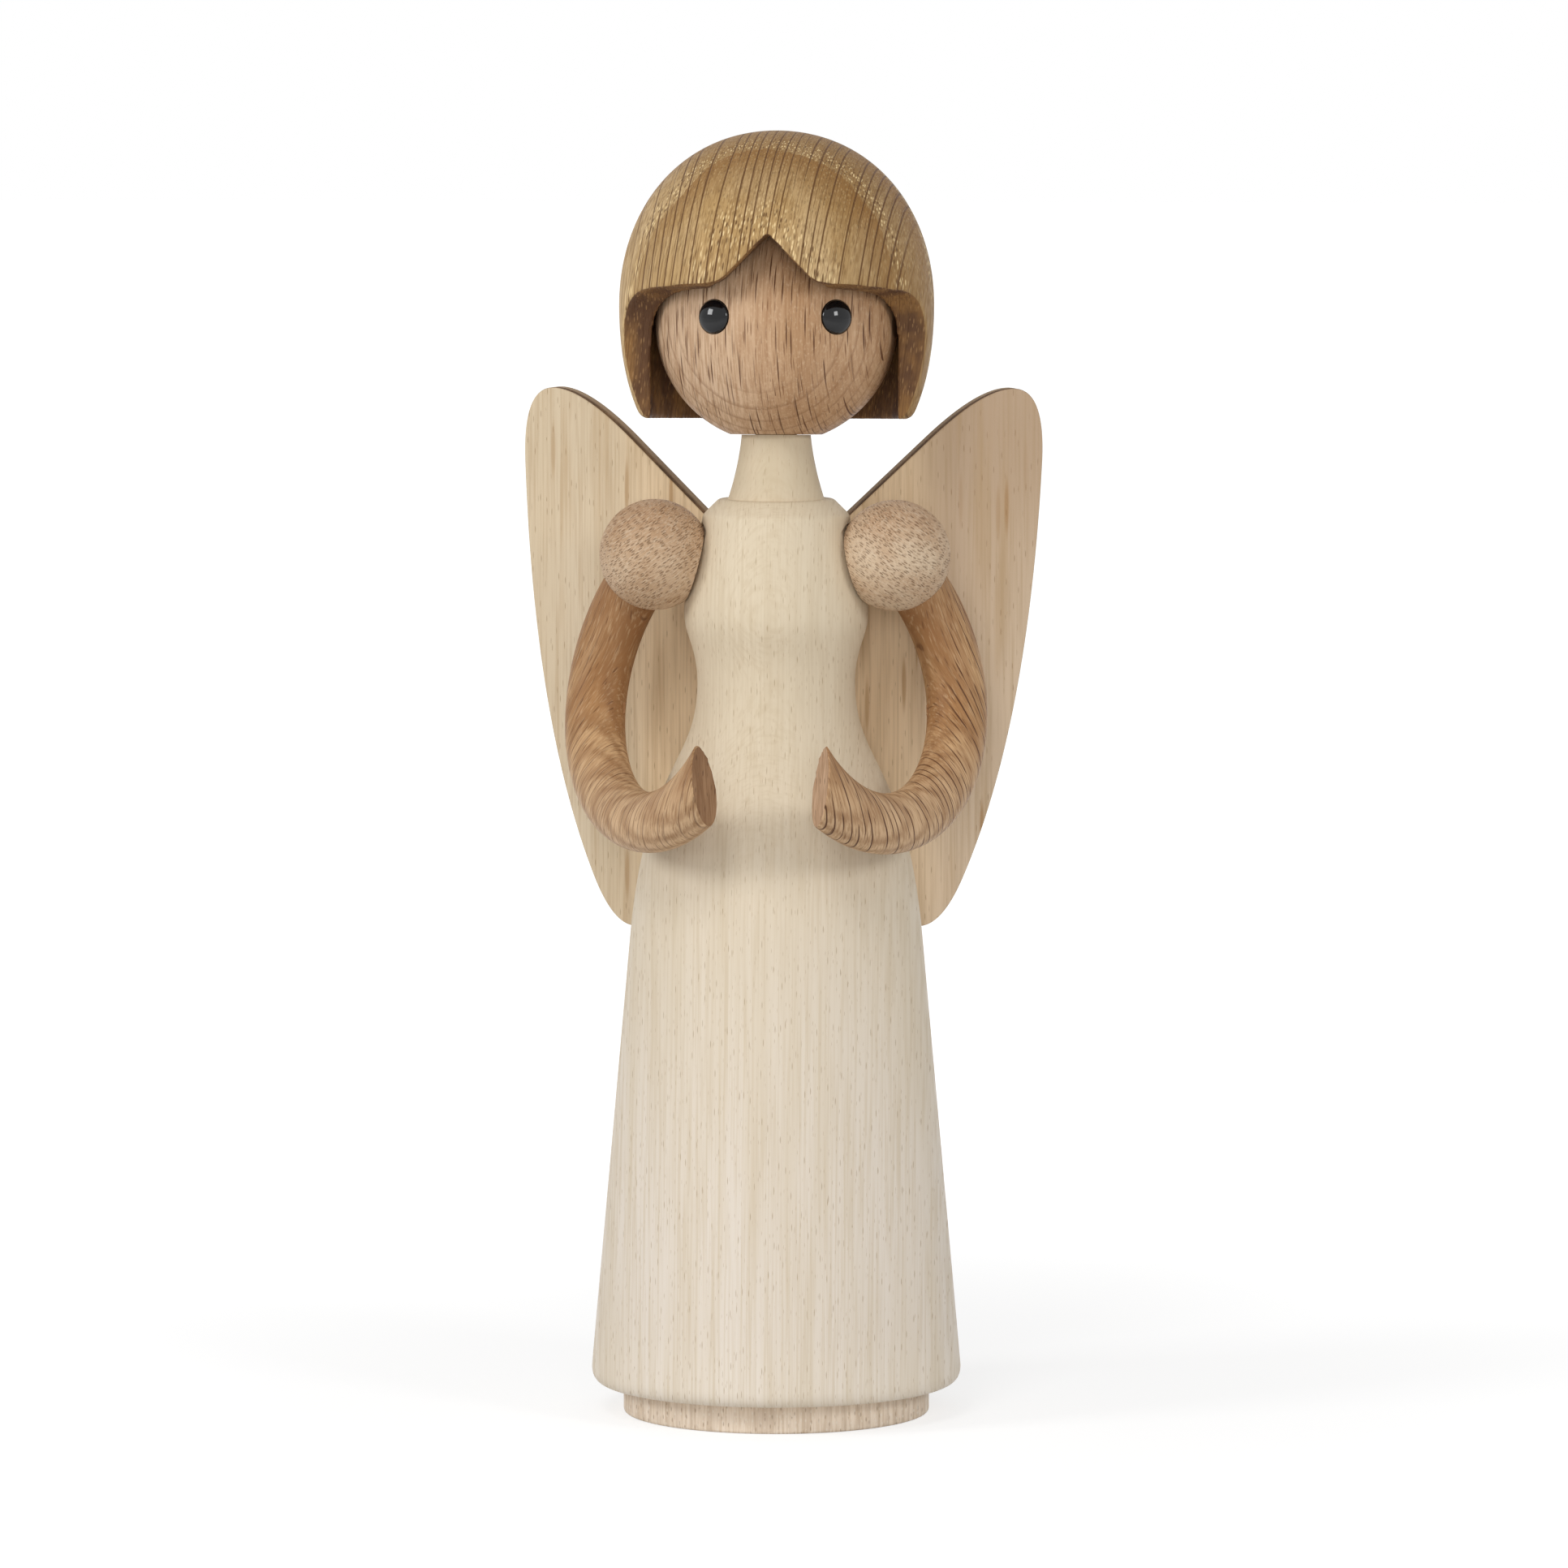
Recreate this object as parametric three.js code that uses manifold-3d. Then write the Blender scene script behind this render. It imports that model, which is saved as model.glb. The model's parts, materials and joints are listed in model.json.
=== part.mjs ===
// Wooden angel figurine: a turned dress on a foot disc, a ball head under a bored hair cap,
// two board wings slotted into the back, and half-ring arms hung from shoulder balls.
// Millimetres, +Z up. The figure faces -Y, and the origin is the middle of the foot's underside.
import * as THREE from 'three';
import { mergeVertices } from 'three/addons/utils/BufferGeometryUtils.js';
import Module from 'manifold-3d';

const wasm = await Module();
wasm.setup();

// Gap left round every seat, bore and slot
const FIT = 0.3;

// Foot disc and its dowel
const FOOT_RADIUS = 22.2;
const FOOT_HEIGHT = 4.2;
const FOOT_EDGE = 0.5;
const FOOT_FLOOR = 1.2;
const FOOT_DOWEL_RADIUS = 4;
const FOOT_DOWEL_REACH = 15;

// Dress, from the hem up to the neck
const HEM_RADIUS = 26.8;
const HEM_ROUND = 2.2;
const SKIRT_HEIGHT = 62.4;
const SKIRT_TOP_RADIUS = 21.2;
const HIP_HEIGHT = 37.2;
const WAIST_RADIUS = 11.4;
const BUST_RISE = 9.9;
const BUST_RADIUS = 13.3;
const SHOULDER_RISE = 14.4;
const SHOULDER_RADIUS = 10.5;
const SHOULDER_BEVEL = 2.2;
const NECK_BASE_RADIUS = 6.95;
const NECK_TOP_RADIUS = 5;
const NECK_LENGTH = 9;
const NECK_HOLLOW = 0.5;
const NECK_DOWEL_RADIUS = 3;
const NECK_DOWEL_DEPTH = 12;

// How long the dress keeps each direction, as a share of the height of the curve
const HIP_FULLNESS = 0.7;
const WAIST_HOLLOW = 0.33;
const WAIST_RELEASE = 0.5;
const BUST_SWELL = 0.3;
const SHOULDER_FULLNESS = 0.34;

// Head: a ball with a flat, set looking up a little
const HEAD_RADIUS = 17.5;
const HEAD_FLAT_RADIUS = 6.7;
const HEAD_TILT = THREE.MathUtils.degToRad(3);
const HEAD_BORE_DEPTH = 11;

// Eye beads: domed heads on pins
const EYE_RADIUS = 2.42;
const EYE_SINK = 0.6;
const EYE_DOME = 1.1;
const EYE_TURN = THREE.MathUtils.degToRad(30.3);
const EYE_LIFT = THREE.MathUtils.degToRad(3);
const EYE_PIN_RADIUS = 0.8;
const EYE_PIN_LENGTH = 6;

// Hair cap, measured from the middle of the head
const HAIR_SIDE_GAP = 1.3;
const HAIR_WALL = 3.9;
const HAIR_CROWN = 9.7;
const HAIR_FULLNESS = 0.58;
const HAIR_BULGE_RISE = 2.4;
const HAIR_DROP = 14;
const HAIR_TUCK = 3.2;
const HAIR_LEAN = THREE.MathUtils.degToRad(23.3);
const HAIR_EDGE = 1.2;
const HAIR_DOWEL_RADIUS = 2.5;
const HAIR_DOWEL_DEPTH = 6;

// Face opening of the hair cap, and the V of its parting
const FRINGE_RISE = 5.4;
const FRINGE_SLOPE = THREE.MathUtils.degToRad(7);
const LOBE_FRONT = 5.2;
const COVE_RADIUS = 6.5;
const PARTING_RISE = 6.9;
const PARTING_HALF_WIDTH = 7.1;
const PARTING_EASE = 2;

// Wings: boards whose straight inner edges sit in slots in the back. Heights are from the bust
const WING_THICKNESS = 3.5;
const WING_SWEEP = THREE.MathUtils.degToRad(18);
const WING_ROOT_ASIDE = 4;
const WING_ROOT_BACK = 7;
const WING_ROOT_RISE = 7.5;
const WING_SLOPE_OUT = 18.3;
const WING_SLOPE_RISE = 24.6;
const WING_TIP_OUT = 30.6;
const WING_RISE = 31.8;
const WING_SPAN = 35.1;
const WING_WIDEST_RISE = 21;
const WING_SIDE_LEAN = THREE.MathUtils.degToRad(2);
const WING_HEEL_OUT = 24.3;
const WING_HEEL_DROP = 39.6;
const WING_HEEL_LEAN = THREE.MathUtils.degToRad(23);
const WING_BOTTOM_OUT = 17.8;
const WING_DROP = 46.7;
const WING_ROOT_DROP = 41;

// Shoulder balls, each with a flat on a shallow seat in the torso
const BALL_RADIUS = 8;
const BALL_FLAT_RADIUS = 5.6;
const SEAT_RISE = 7.1;
const SEAT_DEPTH = 0.45;
const SEAT_MARGIN = 0.6;
const SHOULDER_TILT = THREE.MathUtils.degToRad(15);
const SHOULDER_FORWARD = THREE.MathUtils.degToRad(10);
const SHOULDER_DOWEL_RADIUS = 2.2;
const SHOULDER_DOWEL_DEPTH = 7.5;
const SHOULDER_DOWEL_REACH = 3.2;

// Arms: half rings of round stock, plugged into the balls, with the hand end cut on a slant
const ARM_RADIUS = 4.36;
const ARM_RING_RADIUS = 20.8;
const ARM_BEND = THREE.MathUtils.degToRad(198);
const ARM_PLUG = 4;
const ARM_STRAIGHT = 2;
const ARM_SWING = THREE.MathUtils.degToRad(29.5);
const ARM_SPLAY = THREE.MathUtils.degToRad(12.7);
const ARM_TWIST = THREE.MathUtils.degToRad(20.4);
const HAND_DROP = 13;
const HAND_ANGLE = THREE.MathUtils.degToRad(15.7);
const HAND_LEAN = THREE.MathUtils.degToRad(4.5);

// Facets round a turning, along a curve and along an arm
const TURNED_SIDES = 40;
const BALL_SIDES = 24;
const DOWEL_SIDES = 16;
const CURVE_STEPS = 8;
const EYE_STEPS = 3;
const ARM_STEPS = 28;

// Heights that the stacked lengths above add up to
const DRESS_BOTTOM = FOOT_HEIGHT + FIT;
const SKIRT_FOOT = DRESS_BOTTOM + HEM_ROUND;
const SKIRT_TOP = SKIRT_FOOT + SKIRT_HEIGHT;
const WAIST = SKIRT_TOP + HIP_HEIGHT;
const BUST = WAIST + BUST_RISE;
const BEVEL_FOOT = BUST + SHOULDER_RISE;
const SHOULDER_TOP = BEVEL_FOOT + SHOULDER_BEVEL;
const NECK_TOP = SHOULDER_TOP + NECK_LENGTH;

// Distances that follow from the rounds and their flats, in the head's and the balls' own frames
const HEAD_MIDDLE = FIT + Math.sqrt(HEAD_RADIUS ** 2 - HEAD_FLAT_RADIUS ** 2);
const HEAD_CROWN = HEAD_MIDDLE + HEAD_RADIUS;
const EYE_RIM = Math.sqrt(HEAD_RADIUS ** 2 - EYE_RADIUS ** 2);
const HAIR_BORE = HEAD_RADIUS + HAIR_SIDE_GAP;
const HAIR_RADIUS = HAIR_BORE + HAIR_WALL;
const FRINGE = HEAD_MIDDLE + FRINGE_RISE;
const BALL_FLAT = Math.sqrt(BALL_RADIUS ** 2 - BALL_FLAT_RADIUS ** 2);
const SEAT_FLOOR = BALL_FLAT + FIT;

const paleWood = new THREE.MeshStandardMaterial({ color: 0xe0cfae, roughness: 0.62, metalness: 0 });
const footWood = new THREE.MeshStandardMaterial({ color: 0xcbb499, roughness: 0.68, metalness: 0 });
const beech = new THREE.MeshStandardMaterial({ color: 0xc39a72, roughness: 0.58, metalness: 0 });
const oak = new THREE.MeshStandardMaterial({ color: 0xa8844f, roughness: 0.55, metalness: 0 });
const boardWood = new THREE.MeshStandardMaterial({ color: 0xd8bf9c, roughness: 0.65, metalness: 0 });
const ballWood = new THREE.MeshStandardMaterial({ color: 0xcbab86, roughness: 0.62, metalness: 0 });
const dowelWood = new THREE.MeshStandardMaterial({ color: 0xcfae84, roughness: 0.7, metalness: 0 });
const blackBead = new THREE.MeshStandardMaterial({ color: 0x0b0c0e, roughness: 0.12, metalness: 0 });

// A closed three.js geometry as a solid that can be cut and joined
function solid(geometry) {
  const bare = geometry.clone();
  bare.deleteAttribute('normal');
  bare.deleteAttribute('uv');
  const merged = mergeVertices(bare, 1e-4);
  const corners = merged.index.array;
  const kept = [];
  for (let i = 0; i < corners.length; i += 3) {
    const [a, b, c] = [corners[i], corners[i + 1], corners[i + 2]];
    if (a !== b && b !== c && c !== a) kept.push(a, b, c);
  }
  return new wasm.Manifold(new wasm.Mesh({
    numProp: 3,
    vertProperties: new Float32Array(merged.attributes.position.array),
    triVerts: new Uint32Array(kept),
  }));
}

// A solid as a named mesh
function piece(name, shape, material) {
  const { vertProperties, triVerts } = shape.getMesh();
  const geometry = new THREE.BufferGeometry();
  geometry.setAttribute('position', new THREE.BufferAttribute(vertProperties, 3));
  geometry.setIndex(new THREE.BufferAttribute(triVerts, 1));
  geometry.computeVertexNormals();
  const mesh = new THREE.Mesh(geometry, material);
  mesh.name = name;
  return mesh;
}

// A profile of radius against height, drawn upward from the axis, turned about Z
function turned(points, sides = TURNED_SIDES) {
  return new THREE.LatheGeometry(points, sides).rotateX(Math.PI / 2);
}

// A round bar along Z between two heights
function bar(radius, low, high, sides = DOWEL_SIDES) {
  const geometry = new THREE.CylinderGeometry(radius, radius, high - low, sides);
  return geometry.rotateX(Math.PI / 2).translate(0, 0, (low + high) / 2);
}

// A bar along a shoulder's axle, from an inner to an outer distance off the middle of its ball
function axleBar(radius, inner, outer, side) {
  return bar(radius, inner, outer).rotateY(side * Math.PI / 2);
}

// The same shape seen from the frame of another group
function inFrame(geometry, from, to) {
  const change = to.matrixWorld.clone().invert().multiply(from.matrixWorld);
  return geometry.clone().applyMatrix4(change);
}

function footDisc() {
  const outline = new THREE.Path();
  outline.moveTo(0, 0);
  outline.lineTo(FOOT_RADIUS - FOOT_EDGE, 0);
  outline.lineTo(FOOT_RADIUS, FOOT_EDGE);
  outline.lineTo(FOOT_RADIUS, FOOT_HEIGHT);
  outline.lineTo(0, FOOT_HEIGHT);
  const disc = solid(turned(outline.getPoints()));
  return disc.subtract(solid(bar(FOOT_DOWEL_RADIUS + FIT, FOOT_FLOOR, FOOT_HEIGHT + FIT)));
}

// Half section of the dress. The neck runs on past its top, where it is cut to the head's tilt
function dressOutline() {
  const hipHandle = HIP_FULLNESS * HIP_HEIGHT;
  const skirtTaper = (HEM_RADIUS - SKIRT_TOP_RADIUS) / SKIRT_HEIGHT;
  const torsoTaper = BUST_RADIUS - SHOULDER_RADIUS;
  const neckEnd = NECK_TOP + NECK_TOP_RADIUS;
  const path = new THREE.Path();
  path.moveTo(0, DRESS_BOTTOM);
  path.lineTo(HEM_RADIUS - HEM_ROUND, DRESS_BOTTOM);
  path.quadraticCurveTo(HEM_RADIUS, DRESS_BOTTOM, HEM_RADIUS, SKIRT_FOOT);
  path.lineTo(SKIRT_TOP_RADIUS, SKIRT_TOP);
  path.bezierCurveTo(SKIRT_TOP_RADIUS - skirtTaper * hipHandle, SKIRT_TOP + hipHandle,
    WAIST_RADIUS, WAIST - WAIST_HOLLOW * HIP_HEIGHT, WAIST_RADIUS, WAIST);
  path.bezierCurveTo(WAIST_RADIUS, WAIST + WAIST_RELEASE * BUST_RISE,
    BUST_RADIUS, BUST - BUST_SWELL * BUST_RISE, BUST_RADIUS, BUST);
  path.bezierCurveTo(BUST_RADIUS, BUST + BUST_SWELL * SHOULDER_RISE,
    SHOULDER_RADIUS + SHOULDER_FULLNESS * torsoTaper, BEVEL_FOOT - SHOULDER_FULLNESS * SHOULDER_RISE,
    SHOULDER_RADIUS, BEVEL_FOOT);
  path.lineTo(SHOULDER_RADIUS - SHOULDER_BEVEL, SHOULDER_TOP);
  path.lineTo(NECK_BASE_RADIUS, SHOULDER_TOP);
  path.quadraticCurveTo((NECK_BASE_RADIUS + NECK_TOP_RADIUS) / 2 - NECK_HOLLOW, (SHOULDER_TOP + NECK_TOP) / 2,
    NECK_TOP_RADIUS, NECK_TOP);
  path.lineTo(NECK_TOP_RADIUS, neckEnd);
  path.lineTo(0, neckEnd);
  return path.getPoints(CURVE_STEPS);
}

// Radius of the dress at a height, read off its outline
function dressRadius(height) {
  const points = dressOutline();
  const upper = points.findIndex((p) => p.y > height);
  const [low, high] = [points[upper - 1], points[upper]];
  return THREE.MathUtils.mapLinear(height, low.y, high.y, low.x, high.x);
}

// Frames of the head, the shoulders, the arms and the wings
const figure = new THREE.Group();
const head = new THREE.Group();
head.position.z = NECK_TOP;
head.rotation.x = -HEAD_TILT;
figure.add(head);

function shoulderFrame(side) {
  const seat = BUST + SEAT_RISE;
  const reach = dressRadius(seat) - SEAT_DEPTH;
  const frame = new THREE.Group();
  frame.rotation.set(0, -side * SHOULDER_TILT, -side * SHOULDER_FORWARD, 'ZYX');
  const outward = new THREE.Vector3(side, 0, 0).applyEuler(frame.rotation);
  frame.position.set(side * reach * Math.cos(SHOULDER_FORWARD), -reach * Math.sin(SHOULDER_FORWARD), seat);
  frame.position.addScaledVector(outward, SEAT_FLOOR);
  figure.add(frame);
  return frame;
}

function armFrame(side, shoulder) {
  const frame = new THREE.Group();
  frame.rotation.set(ARM_SWING, -side * ARM_SPLAY, -side * ARM_TWIST);
  shoulder.add(frame);
  return frame;
}

function wingFrame(side) {
  const frame = new THREE.Group();
  frame.position.set(side * WING_ROOT_ASIDE, WING_ROOT_BACK, BUST);
  frame.rotation.z = side * WING_SWEEP;
  figure.add(frame);
  return frame;
}

const sides = [
  { side: -1, name: 'left' },
  { side: 1, name: 'right' },
];
for (const entry of sides) {
  entry.shoulder = shoulderFrame(entry.side);
  entry.arm = armFrame(entry.side, entry.shoulder);
  entry.wing = wingFrame(entry.side);
}
figure.updateMatrixWorld(true);

// A wing's board, or with some growth the slot for it. Drawn outward from the inner edge, each
// curve leaving in the direction in which the one before it ends
function wingBoard(side, grow) {
  const at = (out, up) => [side * out, up];
  const slope = (WING_SLOPE_RISE - WING_ROOT_RISE) / WING_SLOPE_OUT;
  const lift = grow * Math.hypot(1, slope);
  const rise = WING_RISE + grow;
  const span = WING_SPAN + grow;
  const drop = WING_DROP + grow;
  const heel = WING_HEEL_OUT + grow;
  const sideLean = Math.tan(WING_SIDE_LEAN);
  const heelLean = Math.tan(WING_HEEL_LEAN);
  const crest = WING_SLOPE_OUT + (rise - WING_SLOPE_RISE - lift) / slope;
  const corner = span + (rise - WING_WIDEST_RISE) * sideLean;
  const above = (span - heel - (WING_WIDEST_RISE + WING_HEEL_DROP) * sideLean) / (heelLean - sideLean);
  const belly = heel + above * heelLean;
  const toe = heel - (drop - WING_HEEL_DROP) * heelLean;
  const outline = new THREE.Shape();
  outline.moveTo(...at(-grow, WING_ROOT_RISE + lift - slope * grow));
  outline.lineTo(...at(WING_SLOPE_OUT, WING_SLOPE_RISE + lift));
  outline.quadraticCurveTo(...at(crest, rise), ...at(WING_TIP_OUT, rise));
  outline.quadraticCurveTo(...at(corner, rise), ...at(span, WING_WIDEST_RISE));
  outline.quadraticCurveTo(...at(belly, above - WING_HEEL_DROP), ...at(heel, -WING_HEEL_DROP));
  outline.quadraticCurveTo(...at(toe, -drop), ...at(WING_BOTTOM_OUT, -drop));
  outline.lineTo(...at(-grow, -WING_ROOT_DROP - grow));
  const depth = WING_THICKNESS + 2 * grow;
  const run = { depth, bevelEnabled: false, curveSegments: CURVE_STEPS };
  return new THREE.ExtrudeGeometry(outline, run).translate(0, 0, -depth / 2).rotateX(Math.PI / 2);
}

function dressBody() {
  const footBore = bar(FOOT_DOWEL_RADIUS + FIT, FOOT_HEIGHT, DRESS_BOTTOM + FOOT_DOWEL_REACH + FIT);
  const neckTrim = bar(2 * NECK_TOP_RADIUS, 0, 2 * NECK_TOP_RADIUS);
  const neckBore = bar(NECK_DOWEL_RADIUS + FIT, -NECK_DOWEL_DEPTH - FIT, FIT);
  let body = solid(turned(dressOutline())).subtract(solid(footBore));
  body = body.subtract(solid(inFrame(neckTrim, head, figure)));
  body = body.subtract(solid(inFrame(neckBore, head, figure)));
  for (const { side, shoulder, wing } of sides) {
    const seat = axleBar(BALL_FLAT_RADIUS + SEAT_MARGIN, -SEAT_FLOOR, BALL_RADIUS, side);
    const bore = axleBar(SHOULDER_DOWEL_RADIUS + FIT, -SEAT_FLOOR - SHOULDER_DOWEL_DEPTH - FIT, 0, side);
    body = body.subtract(solid(inFrame(seat, shoulder, figure)));
    body = body.subtract(solid(inFrame(bore, shoulder, figure)));
    body = body.subtract(solid(inFrame(wingBoard(side, FIT), wing, figure)));
  }
  return body;
}

// Circle arc from a flat below to the top, for the head and the shoulder balls
function ballOutline(radius, flatRadius) {
  const start = -Math.acos(flatRadius / radius);
  const path = new THREE.Path();
  path.moveTo(0, radius * Math.sin(start));
  path.lineTo(flatRadius, radius * Math.sin(start));
  path.absarc(0, 0, radius, start, Math.PI / 2, false);
  return path.getPoints(CURVE_STEPS);
}

// The frame of one eye: its bead looks along +Z from the middle of the head
function eyeMatrix(side) {
  const turn = new THREE.Euler(Math.PI / 2 - EYE_LIFT, 0, side * EYE_TURN, 'ZYX');
  return new THREE.Matrix4().makeRotationFromEuler(turn).setPosition(0, 0, HEAD_MIDDLE);
}

// A domed bead whose rim sinks a little into the face, in one piece with its pin
function eyeBead(side) {
  const low = EYE_RIM - EYE_SINK;
  const outline = new THREE.Path();
  outline.moveTo(0, low - EYE_PIN_LENGTH);
  outline.lineTo(EYE_PIN_RADIUS, low - EYE_PIN_LENGTH);
  outline.lineTo(EYE_PIN_RADIUS, low);
  outline.lineTo(EYE_RADIUS, low);
  outline.lineTo(EYE_RADIUS, EYE_RIM);
  outline.absellipse(0, EYE_RIM, EYE_RADIUS, EYE_DOME, 0, Math.PI / 2, false, 0);
  return turned(outline.getPoints(EYE_STEPS), DOWEL_SIDES).applyMatrix4(eyeMatrix(side));
}

function headBall() {
  const ball = turned(ballOutline(HEAD_RADIUS, HEAD_FLAT_RADIUS)).translate(0, 0, HEAD_MIDDLE);
  const neckBore = bar(NECK_DOWEL_RADIUS + FIT, 0, FIT + HEAD_BORE_DEPTH + FIT);
  const hairBore = bar(HAIR_DOWEL_RADIUS + FIT, HEAD_CROWN - HAIR_DOWEL_DEPTH - FIT, HEAD_CROWN + FIT);
  let shape = solid(ball).subtract(solid(neckBore)).subtract(solid(hairBore));
  for (const { side } of sides) {
    const low = EYE_RIM - EYE_SINK - FIT;
    const socket = bar(EYE_RADIUS + FIT, low, HEAD_RADIUS + FIT).applyMatrix4(eyeMatrix(side));
    const pinHole = bar(EYE_PIN_RADIUS + FIT, low - EYE_PIN_LENGTH, low + FIT).applyMatrix4(eyeMatrix(side));
    shape = shape.subtract(solid(socket)).subtract(solid(pinHole));
  }
  return shape;
}

// Half section of the hair: eased hem, sides leaning out to the widest ring, and a round crown
function hairOutline() {
  const bottom = HEAD_MIDDLE - HAIR_DROP;
  const bulge = HEAD_MIDDLE + HAIR_BULGE_RISE;
  const top = HEAD_CROWN + FIT + HAIR_CROWN;
  const hem = HAIR_RADIUS - HAIR_TUCK;
  const lean = Math.tan(HAIR_LEAN);
  const path = new THREE.Path();
  path.moveTo(0, bottom);
  path.lineTo(hem - HAIR_EDGE, bottom);
  path.quadraticCurveTo(hem, bottom, hem + HAIR_EDGE * lean, bottom + HAIR_EDGE);
  path.quadraticCurveTo(HAIR_RADIUS, bottom + HAIR_TUCK / lean, HAIR_RADIUS, bulge);
  path.bezierCurveTo(HAIR_RADIUS, bulge + HAIR_FULLNESS * (top - bulge),
    HAIR_FULLNESS * HAIR_RADIUS, top, 0, top);
  return path.getPoints(CURVE_STEPS);
}

// The bore that the head sits in: a cylinder with a round end just clear of the head's top
function hairBore() {
  const middle = HEAD_CROWN + FIT - HAIR_BORE;
  const mouth = HEAD_MIDDLE - 2 * HAIR_DROP;
  const path = new THREE.Path();
  path.moveTo(0, mouth);
  path.lineTo(HAIR_BORE, mouth);
  path.lineTo(HAIR_BORE, middle);
  path.absarc(0, middle, HAIR_BORE, 0, Math.PI / 2, false);
  return turned(path.getPoints(CURVE_STEPS));
}

// Side view of the face opening, run across the cap: upright behind, coved up to the fringe
function faceOpening() {
  const beyond = 2 * HAIR_RADIUS;
  const rake = Math.tan(FRINGE_SLOPE);
  const coveStart = -LOBE_FRONT - COVE_RADIUS;
  const coveTop = FRINGE - (HAIR_RADIUS + coveStart) * rake;
  const section = new THREE.Shape();
  section.moveTo(-beyond, HEAD_MIDDLE - beyond);
  section.lineTo(-LOBE_FRONT, HEAD_MIDDLE - beyond);
  section.lineTo(-LOBE_FRONT, coveTop - COVE_RADIUS);
  section.absarc(coveStart, coveTop - COVE_RADIUS, COVE_RADIUS, 0, Math.PI / 2, false);
  section.lineTo(-beyond, FRINGE + (beyond - HAIR_RADIUS) * rake);
  const run = { depth: 2 * beyond, bevelEnabled: false, curveSegments: CURVE_STEPS };
  const across = new THREE.ExtrudeGeometry(section, run).translate(0, 0, -beyond);
  const upright = new THREE.Matrix4().makeBasis(
    new THREE.Vector3(0, 1, 0), new THREE.Vector3(0, 0, 1), new THREE.Vector3(1, 0, 0));
  return across.applyMatrix4(upright);
}

// The V of the parting, cut from front to middle, with eased corners where it meets the fringe
function partingNotch() {
  const leg = new THREE.Vector2(-PARTING_HALF_WIDTH, PARTING_RISE).setLength(PARTING_EASE);
  const legTop = leg.clone().add(new THREE.Vector2(PARTING_HALF_WIDTH, FRINGE));
  const wide = PARTING_HALF_WIDTH + PARTING_EASE;
  const setBack = HAIR_RADIUS - Math.sqrt(HAIR_RADIUS ** 2 - wide ** 2);
  const edge = FRINGE - setBack * Math.tan(FRINGE_SLOPE);
  const outline = new THREE.Shape();
  outline.moveTo(-wide, edge);
  outline.lineTo(-wide - PARTING_EASE, edge - PARTING_EASE);
  outline.lineTo(wide + PARTING_EASE, edge - PARTING_EASE);
  outline.lineTo(wide, edge);
  outline.quadraticCurveTo(PARTING_HALF_WIDTH, FRINGE, legTop.x, legTop.y);
  outline.lineTo(0, FRINGE + PARTING_RISE);
  outline.lineTo(-legTop.x, legTop.y);
  outline.quadraticCurveTo(-PARTING_HALF_WIDTH, FRINGE, -wide, edge);
  const run = { depth: 2 * HAIR_RADIUS, bevelEnabled: false, curveSegments: CURVE_STEPS };
  return new THREE.ExtrudeGeometry(outline, run).rotateX(Math.PI / 2);
}

function hairCap() {
  const dowelBore = bar(HAIR_DOWEL_RADIUS + FIT, HEAD_CROWN, HEAD_CROWN + FIT + HAIR_DOWEL_DEPTH + FIT);
  const turning = solid(turned(hairOutline())).subtract(solid(hairBore())).subtract(solid(dowelBore));
  return turning.subtract(solid(faceOpening())).subtract(solid(partingNotch()));
}

// Middle line of an arm in its own frame: straight out of the ball, then round in half a ring
class ArmLine extends THREE.Curve {
  getPoint(t, target = new THREE.Vector3()) {
    const along = t * (ARM_STRAIGHT + ARM_BEND * ARM_RING_RADIUS) - ARM_STRAIGHT;
    const angle = Math.max(0, along) / ARM_RING_RADIUS;
    const drop = ARM_PLUG + ARM_STRAIGHT + Math.min(0, along) + ARM_RING_RADIUS * Math.sin(angle);
    return target.set(0, ARM_RING_RADIUS * (Math.cos(angle) - 1), -drop);
  }
}

function armRod() {
  const round = new THREE.Shape();
  round.absarc(0, 0, ARM_RADIUS, 0, 2 * Math.PI, false);
  const extrudePath = new ArmLine();
  const run = { steps: ARM_STEPS, curveSegments: CURVE_STEPS, extrudePath, bevelEnabled: false };
  return new THREE.ExtrudeGeometry(round, run);
}

// What the slanting cut takes off a hand: all past a plane that crosses the figure's axis at hand
// height, turned toward the hand and leaning outward at the top
function handOff(side) {
  const size = 4 * ARM_RING_RADIUS;
  const block = new THREE.BoxGeometry(size, size, size).translate(-side * size / 2, -size / 2, 0);
  return block.rotateY(side * HAND_LEAN).rotateZ(side * HAND_ANGLE).translate(0, 0, WAIST - HAND_DROP);
}

function armPiece(side, arm) {
  return solid(armRod()).subtract(solid(inFrame(handOff(side), figure, arm)));
}

// A ball with its flat toward the body, bored for its dowel and for the arm's plug
function shoulderBall(side, shoulder, arm) {
  const ball = turned(ballOutline(BALL_RADIUS, BALL_FLAT_RADIUS), BALL_SIDES).rotateY(side * Math.PI / 2);
  const dowelEnd = SHOULDER_DOWEL_REACH + FIT - BALL_FLAT;
  const dowelBore = axleBar(SHOULDER_DOWEL_RADIUS + FIT, -BALL_RADIUS, dowelEnd, side);
  const pocket = bar(ARM_RADIUS + FIT, -2 * BALL_RADIUS, FIT - ARM_PLUG, BALL_SIDES);
  return solid(ball).subtract(solid(dowelBore)).subtract(solid(inFrame(pocket, arm, shoulder)));
}

const footDowel = bar(FOOT_DOWEL_RADIUS, FOOT_FLOOR + FIT, DRESS_BOTTOM + FOOT_DOWEL_REACH);
figure.add(piece('foot_disc', footDisc(), footWood));
figure.add(piece('foot_dowel', solid(footDowel), dowelWood));
figure.add(piece('dress_body', dressBody(), paleWood));

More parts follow.
